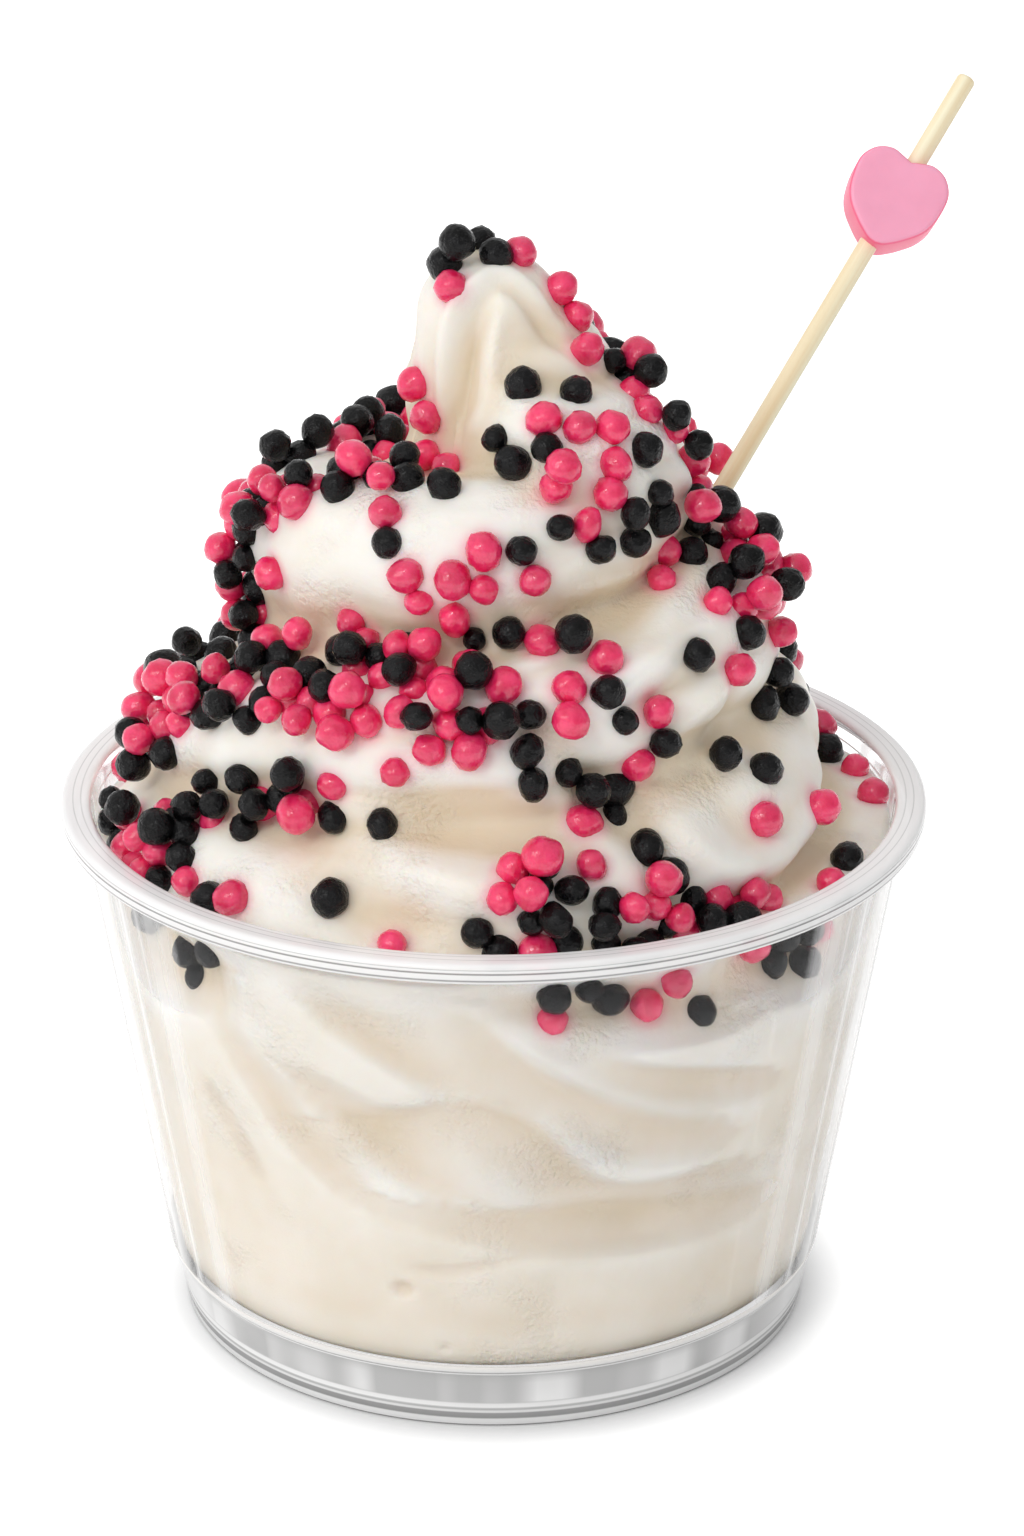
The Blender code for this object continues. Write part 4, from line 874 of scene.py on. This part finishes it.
def floor_material():
    """Plain pale floor, which stays white behind the cup, with a painted shadow round its foot."""
    made, tree, shader = new_material(
        "pale_floor", Base_Color=(0.8, 0.8, 0.8, 1.0), Roughness=0.9, Specular_IOR_Level=0.0,
    )
    away = tree.nodes.new("ShaderNodeVectorMath")
    away.operation = "LENGTH"
    tree.links.new(own_place(tree), away.inputs[0])
    # painted shadow in a ring round the cup's foot; the floor under the cup, seen through the foot, is kept
    # lighter
    painted_foot_shade = ramp(
        tree, away.outputs["Value"], (0.031, 0.8), (0.0352, 0.1), (0.0365, 0.1), (0.0385, 0.5), (0.044, 1.0),
    )
    glowing = math_node(tree, "MULTIPLY", painted_foot_shade, FLOOR_GLOW)
    paths = tree.nodes.new("ShaderNodeLightPath")
    straight = math_node(tree, "SUBTRACT", 1.0, paths.outputs["Is Diffuse Ray"])
    glow = tree.nodes.new("ShaderNodeEmission")
    tree.links.new(math_node(tree, "MULTIPLY", straight, glowing), glow.inputs["Strength"])
    both = tree.nodes.new("ShaderNodeAddShader")
    tree.links.new(shader.outputs["BSDF"], both.inputs[0])
    tree.links.new(glow.outputs["Emission"], both.inputs[1])
    tree.links.new(both.outputs["Shader"], tree.nodes["Material Output"].inputs["Surface"])
    return made


# ---------------------------------------------------------------- pieces


def unevenness(points, seed, waves=LUMP_WAVES):
    """A smooth random height over points, from waves of random heading and length."""
    draw = np.random.RandomState(seed)
    total = np.zeros(points.shape[:-1])
    for _ in range(waves):
        heading = draw.normal(size=3)
        heading *= 2 * math.pi / draw.uniform(LUMP_SHORTEST, LUMP_LONGEST) / np.linalg.norm(heading)
        total += np.sin(points @ heading + draw.uniform(0, 2 * math.pi))
    return total / math.sqrt(waves / 2)


def fold_depth(points):
    """0 deep in a fold to 1 on a crest, from how far the skin lies under its own average. The cream's colour
    reads it as painted shade in the folds.
    """
    radius = np.hypot(points[..., 0], points[..., 1])
    height = points[..., 2]
    reach = radius + 0.45 * height
    total = np.zeros(reach.shape)
    for blur in FOLD_BLURS:
        mean = reach.copy()
        for _ in range(2):
            turned = [np.roll(mean, step, axis=1) for step in range(-blur, blur + 1)]
            mean = np.mean(turned, axis=0)
            padded = np.pad(mean, ((blur, blur), (0, 0)), mode="edge")
            mean = np.mean([padded[step: step + len(mean)] for step in range(2 * blur + 1)], axis=0)
        total += np.clip((reach - mean) / (0.35 * blur ** 0.7), -1, 1)
    least = FOLD_LOW * np.clip((FOLD_LOW_TOP - height) / FOLD_LOW_FADE, 0, 1)
    return np.maximum(np.clip(0.5 + total / len(FOLD_BLURS), 0, 1), least)


def cream_swirl(pearls):
    """The swirl, finer than its solid and reaching just into the cup's wall."""
    azimuth, radius, height = cream_skin(FINE_COLUMNS, FINE_ROWS)
    points = skin_points((azimuth, radius, height))
    free = np.clip((height - FILL_LEVEL) / 3, 0, 1)
    lift = LUMPS * unevenness(points, LUMP_SEED) * free
    points[..., 0] += lift * np.sin(azimuth)
    points[..., 1] -= lift * np.cos(azimuth)
    touches = np.clip(1 - (wall_inside(height) - radius - GAP) / 0.6, 0, 1) * (height < FILL_LEVEL - 0.4)
    out = touches * (GAP + INTO_WALL)
    points[..., 0] += out * np.sin(azimuth)
    points[..., 1] -= out * np.cos(azimuth)
    stain = np.zeros(height.shape)
    for centre, _, size, pink, _ in pearls:
        if pink:
            away = np.linalg.norm(points - centre, axis=2) - size
            stain = np.maximum(stain, np.exp(-2.5 * np.clip(away / STAIN_REACH, 0, None) ** 2))
    rows, columns = height.shape
    across = np.arange(columns)
    after = (across + 1) % columns
    faces = [tuple(range(columns - 1, -1, -1))]
    for row in range(rows - 1):
        low, high = row * columns, (row + 1) * columns
        faces += list(zip(low + across, low + after, high + after, high + across))
    top = (rows - 1) * columns
    faces += [(top + a, top + b, rows * columns) for a, b in zip(across, after)]
    everything = np.vstack((points.reshape(-1, 3), points[-1].mean(axis=0)))
    mesh = mesh_from("cream_swirl", everything.tolist(), [tuple(map(int, face)) for face in faces])
    # painted shade: how deep each point lies in a fold, which darkens the cream's colour
    carry(mesh, "fold", np.append(fold_depth(points).ravel(), 0.9))
    carry(mesh, "stain", np.append(STAIN_DEPTH * stain.ravel(), 0.0))
    return show("cream_swirl", mesh, cream_material(), "soft_serve")


def ball(subdivisions):
    """Points and faces of a round ball of radius 1."""
    form = bmesh.new()
    bmesh.ops.create_icosphere(form, subdivisions=subdivisions, radius=1.0)
    points = np.array([vertex.co for vertex in form.verts])
    faces = np.array([[vertex.index for vertex in face.verts] for face in form.faces])
    form.free()
    return points, faces


def pearl_heap(name, pearls, coat, seed):
    """One mesh of all pearls of a colour, each a little out of round."""
    draw = np.random.RandomState(seed)
    unit, triangles = ball(3)
    points, faces, tones = [], [], []
    for centre, _, radius, _, _ in pearls:
        stretch = draw.normal(1.0, PEARL_STRETCH, size=3)
        turn = Matrix.Rotation(draw.uniform(0, 2 * math.pi), 3, Vector(draw.normal(size=3)))
        shape = (unit * stretch) @ np.array(turn)
        dents = unevenness(unit * PEARL_DENT_SPACING, int(draw.randint(1 << 30)), PEARL_DENT_WAVES)
        shape *= (1 + PEARL_DENTS * dents)[:, None]
        points.append(centre + shape * radius)
        faces.append(triangles + len(unit) * len(faces))
        tones += [draw.uniform()] * len(unit)
    mesh = mesh_from(name, np.vstack(points).tolist(), np.vstack(faces).tolist())
    carry(mesh, "tone", tones)
    return show(name, mesh, coat, "soft_serve")


def round_off(outline, corners, steps=5):
    """Round a closed profile's corners: {index: radius}."""
    made = []
    count = len(outline)
    for index, here in enumerate(outline):
        if index not in corners:
            made.append(here)
            continue
        here = np.array(here, float)
        before = np.array(outline[index - 1], float) - here
        beyond = np.array(outline[(index + 1) % count], float) - here
        near, far = np.linalg.norm(before), np.linalg.norm(beyond)
        cut = min(corners[index], 0.45 * near, 0.45 * far)
        start, end = here + before / near * cut, here + beyond / far * cut
        for step in range(steps + 1):
            t = step / steps
            made.append(tuple((1 - t) ** 2 * start + 2 * t * (1 - t) * here + t * t * end))
    return made


def finely(outline, step=1.0):
    """A profile whose long runs are divided."""
    made = []
    for here, beyond in zip(outline, outline[1:]):
        parts = math.ceil(math.dist(here, beyond) / step)
        for part in range(parts):
            made.append(tuple(a + (b - a) * part / parts for a, b in zip(here, beyond)))
    return made + [outline[-1]]


def cup_wall():
    """The clear cup, turned finely. Its points carry how far they lie round the lip and foot."""
    under = LEDGE - FLOOR_THICKNESS
    foot = FOOT_TOP_RADIUS - FOOT_WALL
    profile = [
        (0, under),
        (foot - LEDGE_STEP, under),
        (foot, under - LEDGE_STEP),
        (FOOT_RADIUS - FOOT_WALL, FOOT_BEAD_HEIGHT),
        (FOOT_RADIUS - FOOT_WALL - FOOT_BEAD, FOOT_BEAD_HEIGHT - FOOT_BEAD),
        (FOOT_RADIUS - FOOT_WALL - FOOT_BEAD, 0),
        (FOOT_RADIUS, 0),
        (FOOT_RADIUS + 0.16, 1.0),
        (FOOT_TOP_RADIUS, LEDGE - LEDGE_STEP),
        (WALL_LEDGE_RADIUS, LEDGE),
        (WALL_TOP_RADIUS, LIP_BOTTOM),
        (LIP_RADIUS, LIP_BOTTOM),
        (LIP_RADIUS, LIP_TOP),
        (LIP_INNER_RADIUS, LIP_TOP),
        (wall_inside(LIP_BOTTOM), LIP_BOTTOM),
        (wall_inside(LEDGE), LEDGE),
        (0, LEDGE),
    ]
    corners = {
        2: 0.6, 3: 0.5, 4: 0.4, 5: 0.3, 6: 0.5, 8: 0.6, 9: 0.5,
        10: 0.5, 11: 0.9, 12: 0.9, 13: 0.7, 14: 0.6, 15: 0.8,
    }
    mesh = turned_mesh("cup_clear", finely(round_off(profile, corners)), CUP_SIDES)
    places = np.array([tuple(vertex.co) for vertex in mesh.vertices]) / MM
    height = places[:, 2]
    across = np.maximum(np.hypot(places[:, 0], places[:, 1]), 1.0)
    unrolled = np.stack((places[:, 0] / across, places[:, 1] / across, height * FOOT_PATCH_DRIFT), axis=1)
    mesh.attributes.new("unrolled", "FLOAT_VECTOR", "POINT").data.foreach_set("vector", unrolled.ravel())
    side, top = LIP_TOP - LIP_BOTTOM, LIP_RADIUS - LIP_INNER_RADIUS
    outer = np.clip(height - LIP_BOTTOM, 0, side)
    rim = (outer + np.clip(LIP_RADIUS - across, 0, top)) / (side + top) * 0.93
    inside = across < LIP_INNER_RADIUS + 0.3
    rim = np.where(inside & (height < LIP_TOP - 0.5), 1.0, rim) * (height > LIP_BOTTOM - 0.01)
    outside = np.interp(
        height, (0, LEDGE - LEDGE_STEP, LEDGE), (FOOT_RADIUS, FOOT_TOP_RADIUS, WALL_LEDGE_RADIUS),
    )
    # rim and low place the painted reflection lines and painted shade of the lip and foot
    carry(mesh, "rim", rim)
    carry(mesh, "low", np.where(across > outside - 0.55, np.clip(height / FOOT_LINES_TOP, 0, 1), 1.0))
    return show("cup_clear", mesh, clear_material(), "cup")


def pick_stick():
    """The pick, with rounded ends."""
    radius = PICK_DIAMETER / 2
    length = PICK_SUNK + PICK_SHOWN
    profile = [(0, 0), (radius, 0)]
    profile += [(radius, length * step / 40) for step in range(1, 40)]
    profile += [(radius, length), (0, length)]
    rounded = round_off(profile, {1: 0.5, 41: 0.8}, 4)
    mesh = turned_mesh("pick_stick", rounded, PICK_SIDES)
    made = show("pick_stick", mesh, wood_material(), "pick")
    made.matrix_world = Matrix.Translation((CUP_AXIS_X * MM, 0, 0)) @ pick_placing()
    return made


def heart_outline(steps):
    """The heart's edge: down its right half, then up its left half."""
    knots = np.arange(len(HEART_HALF))
    fine = np.linspace(0, len(HEART_HALF) - 1, steps * (len(HEART_HALF) - 1) + 1)
    across, up = (smooth_curve(fine, knots, values) for values in zip(*HEART_HALF))
    right = list(zip(across, up))
    return right + [(-x, y) for x, y in reversed(right[1:-1])]


def heart_charm():
    """The heart: flat faces, with edges rounded by a quarter circle."""
    outline = np.array(heart_outline(HEART_STEPS))
    ahead = np.roll(outline, -1, axis=0) - np.roll(outline, 1, axis=0)
    inward = np.stack((ahead[:, 1], -ahead[:, 0]), axis=1) / np.hypot(*ahead.T)[:, None]
    half, count = HEART_THICKNESS / 2, len(outline)
    rings = [((outline + inward * HEART_SOFT) * share, half, 0.0) for share in HEART_FACE_RINGS]
    for turn in np.radians(np.linspace(0, 90, 6)):
        inset = HEART_SOFT * (1 - math.sin(turn))
        up = half - HEART_SOFT * (1 - math.cos(turn))
        rings.append((outline + inward * inset, up, float(inset < 0.3 * HEART_SOFT)))
    rings += [(ring, -up, side) for ring, up, side in reversed(rings)]
    points = [(x, y, up) for ring, up, _ in rings for x, y in ring] + [(0, 0, half), (0, 0, -half)]
    sides = [side for _, _, side in rings for _ in range(count)] + [0.0, 0.0]
    last = (len(rings) - 1) * count
    faces = []
    for k in range(count):
        after = (k + 1) % count
        faces.append((k, after, len(points) - 2))
        for row in range(0, last, count):
            faces.append((row + k, row + count + k, row + count + after, row + after))
        faces.append((last + after, last + k, len(points) - 1))
    mesh = mesh_from("heart_charm", points, faces)
    form = bmesh.new()
    form.from_mesh(mesh)
    bmesh.ops.recalc_face_normals(form, faces=form.faces)
    form.to_mesh(mesh)
    form.free()
    carry(mesh, "side", sides)
    outward = (FACES_TOWARDS - PICK_LEAN * FACES_TOWARDS.dot(PICK_LEAN)).normalized()
    right = PICK_LEAN.cross(outward)
    turned = Matrix((right, PICK_LEAN, outward)).transposed().to_4x4()
    turned = turned @ Matrix.Rotation(math.radians(HEART_TURN), 4, "Z")
    made = show("heart_charm", mesh, heart_material(), "heart")
    middle = (PICK_ENTRY + PICK_LEAN * HEART_FROM_ENTRY) * MM + Vector((CUP_AXIS_X * MM, 0, 0))
    made.matrix_world = Matrix.Translation(middle) @ turned
    return made


# ---------------------------------------------------------------- stage


def add_camera():
    """The photograph's view: from the front, looking down, through a long lens."""
    camera = bpy.data.cameras.new("camera")
    camera.lens, camera.sensor_width = CAMERA_LENS, CAMERA_SENSOR
    holder = bpy.data.objects.new("camera", camera)
    bpy.context.scene.collection.objects.link(holder)
    tilt = math.radians(CAMERA_TILT)
    back = Vector((0.0, -math.cos(tilt), math.sin(tilt)))
    holder.location = CAMERA_AIM + back * CAMERA_DISTANCE + Vector((CUP_AXIS_X * MM, 0, 0))
    holder.rotation_euler = (-back).to_track_quat("-Z", "Y").to_euler()
    bpy.context.scene.camera = holder


def add_softbox(name, place, size, power, tone=(1.0, 1.0, 1.0)):
    """A square soft light aimed at the swirl."""
    lamp = bpy.data.lights.new(name, "AREA")
    lamp.size, lamp.energy, lamp.color = size, power, tone
    holder = bpy.data.objects.new(name, lamp)
    bpy.context.scene.collection.objects.link(holder)
    holder.location = place
    holder.rotation_euler = (LIGHTS_AIM - holder.location).to_track_quat("-Z", "Y").to_euler()


def sky_across(sky):
    """How far to the right a direction of the sky points, from -1 to 1."""
    node = sky.nodes.new("ShaderNodeTexCoord")
    split = sky.nodes.new("ShaderNodeSeparateXYZ")
    sky.links.new(node.outputs["Generated"], split.inputs[0])
    return split.outputs["X"]


def add_stage():
    """Floor, sky and lights."""
    mesh = bpy.data.meshes.new("floor")
    signs = (-1, -1), (1, -1), (1, 1), (-1, 1)
    mesh.from_pydata([(FLOOR_HALF * x, FLOOR_HALF * y, 0) for x, y in signs], [], [(0, 1, 2, 3)])
    mesh.materials.append(floor_material())
    floor = bpy.data.objects.new("floor", mesh)
    bpy.context.scene.collection.objects.link(floor)
    floor.location = CUP_AXIS_X * MM, -SHADE_FORWARD, 0.0
    world = bpy.data.worlds.new("studio")
    world.use_nodes = True
    sky = world.node_tree
    across = math_node(sky, "MULTIPLY_ADD", sky_across(sky), 0.5, 0.5)
    background = sky.nodes["Background"].inputs
    sky.links.new(ramp(sky, across, (0.5, 1.0), (0.8, 0.58), (1.0, 0.42)), background["Color"])
    background["Strength"].default_value = SKY_STRENGTH
    bpy.context.scene.world = world
    add_softbox("key", KEY_PLACE, KEY_SIZE, KEY_POWER, (1.0, 0.99, 0.97))
    add_softbox("sparkle", SPARKLE_PLACE, SPARKLE_SIZE, SPARKLE_POWER)
    bpy.context.scene.view_settings.view_transform = "Standard"


def main():
    """Build every piece, then the stage."""
    add_camera()
    pearls = pearl_spots(cream_skin(CREAM_COLUMNS, CREAM_ROWS))
    cream_swirl(pearls)
    pink = pearl_material(
        "pink_pearl", (0.80, 0.012, 0.10), (1.0, 0.05, 0.185), 0.4, Roughness=0.26, Coat_Weight=0.5,
        Subsurface_Weight=0.45, Subsurface_Radius=(1.0, 0.25, 0.3),
    )
    black = pearl_material(
        "black_pearl", (0.002, 0.002, 0.002), (0.007, 0.007, 0.008), 1.0, Roughness=0.14, Coat_Weight=0.06,
        Specular_IOR_Level=0.16,
    )
    pearl_heap("pearls_pink", [pearl for pearl in pearls if pearl[3]], pink, PINK_SEED)
    pearl_heap("pearls_black", [pearl for pearl in pearls if not pearl[3]], black, BLACK_SEED)
    cup_wall()
    pick_stick()
    heart_charm()
    add_stage()


main()
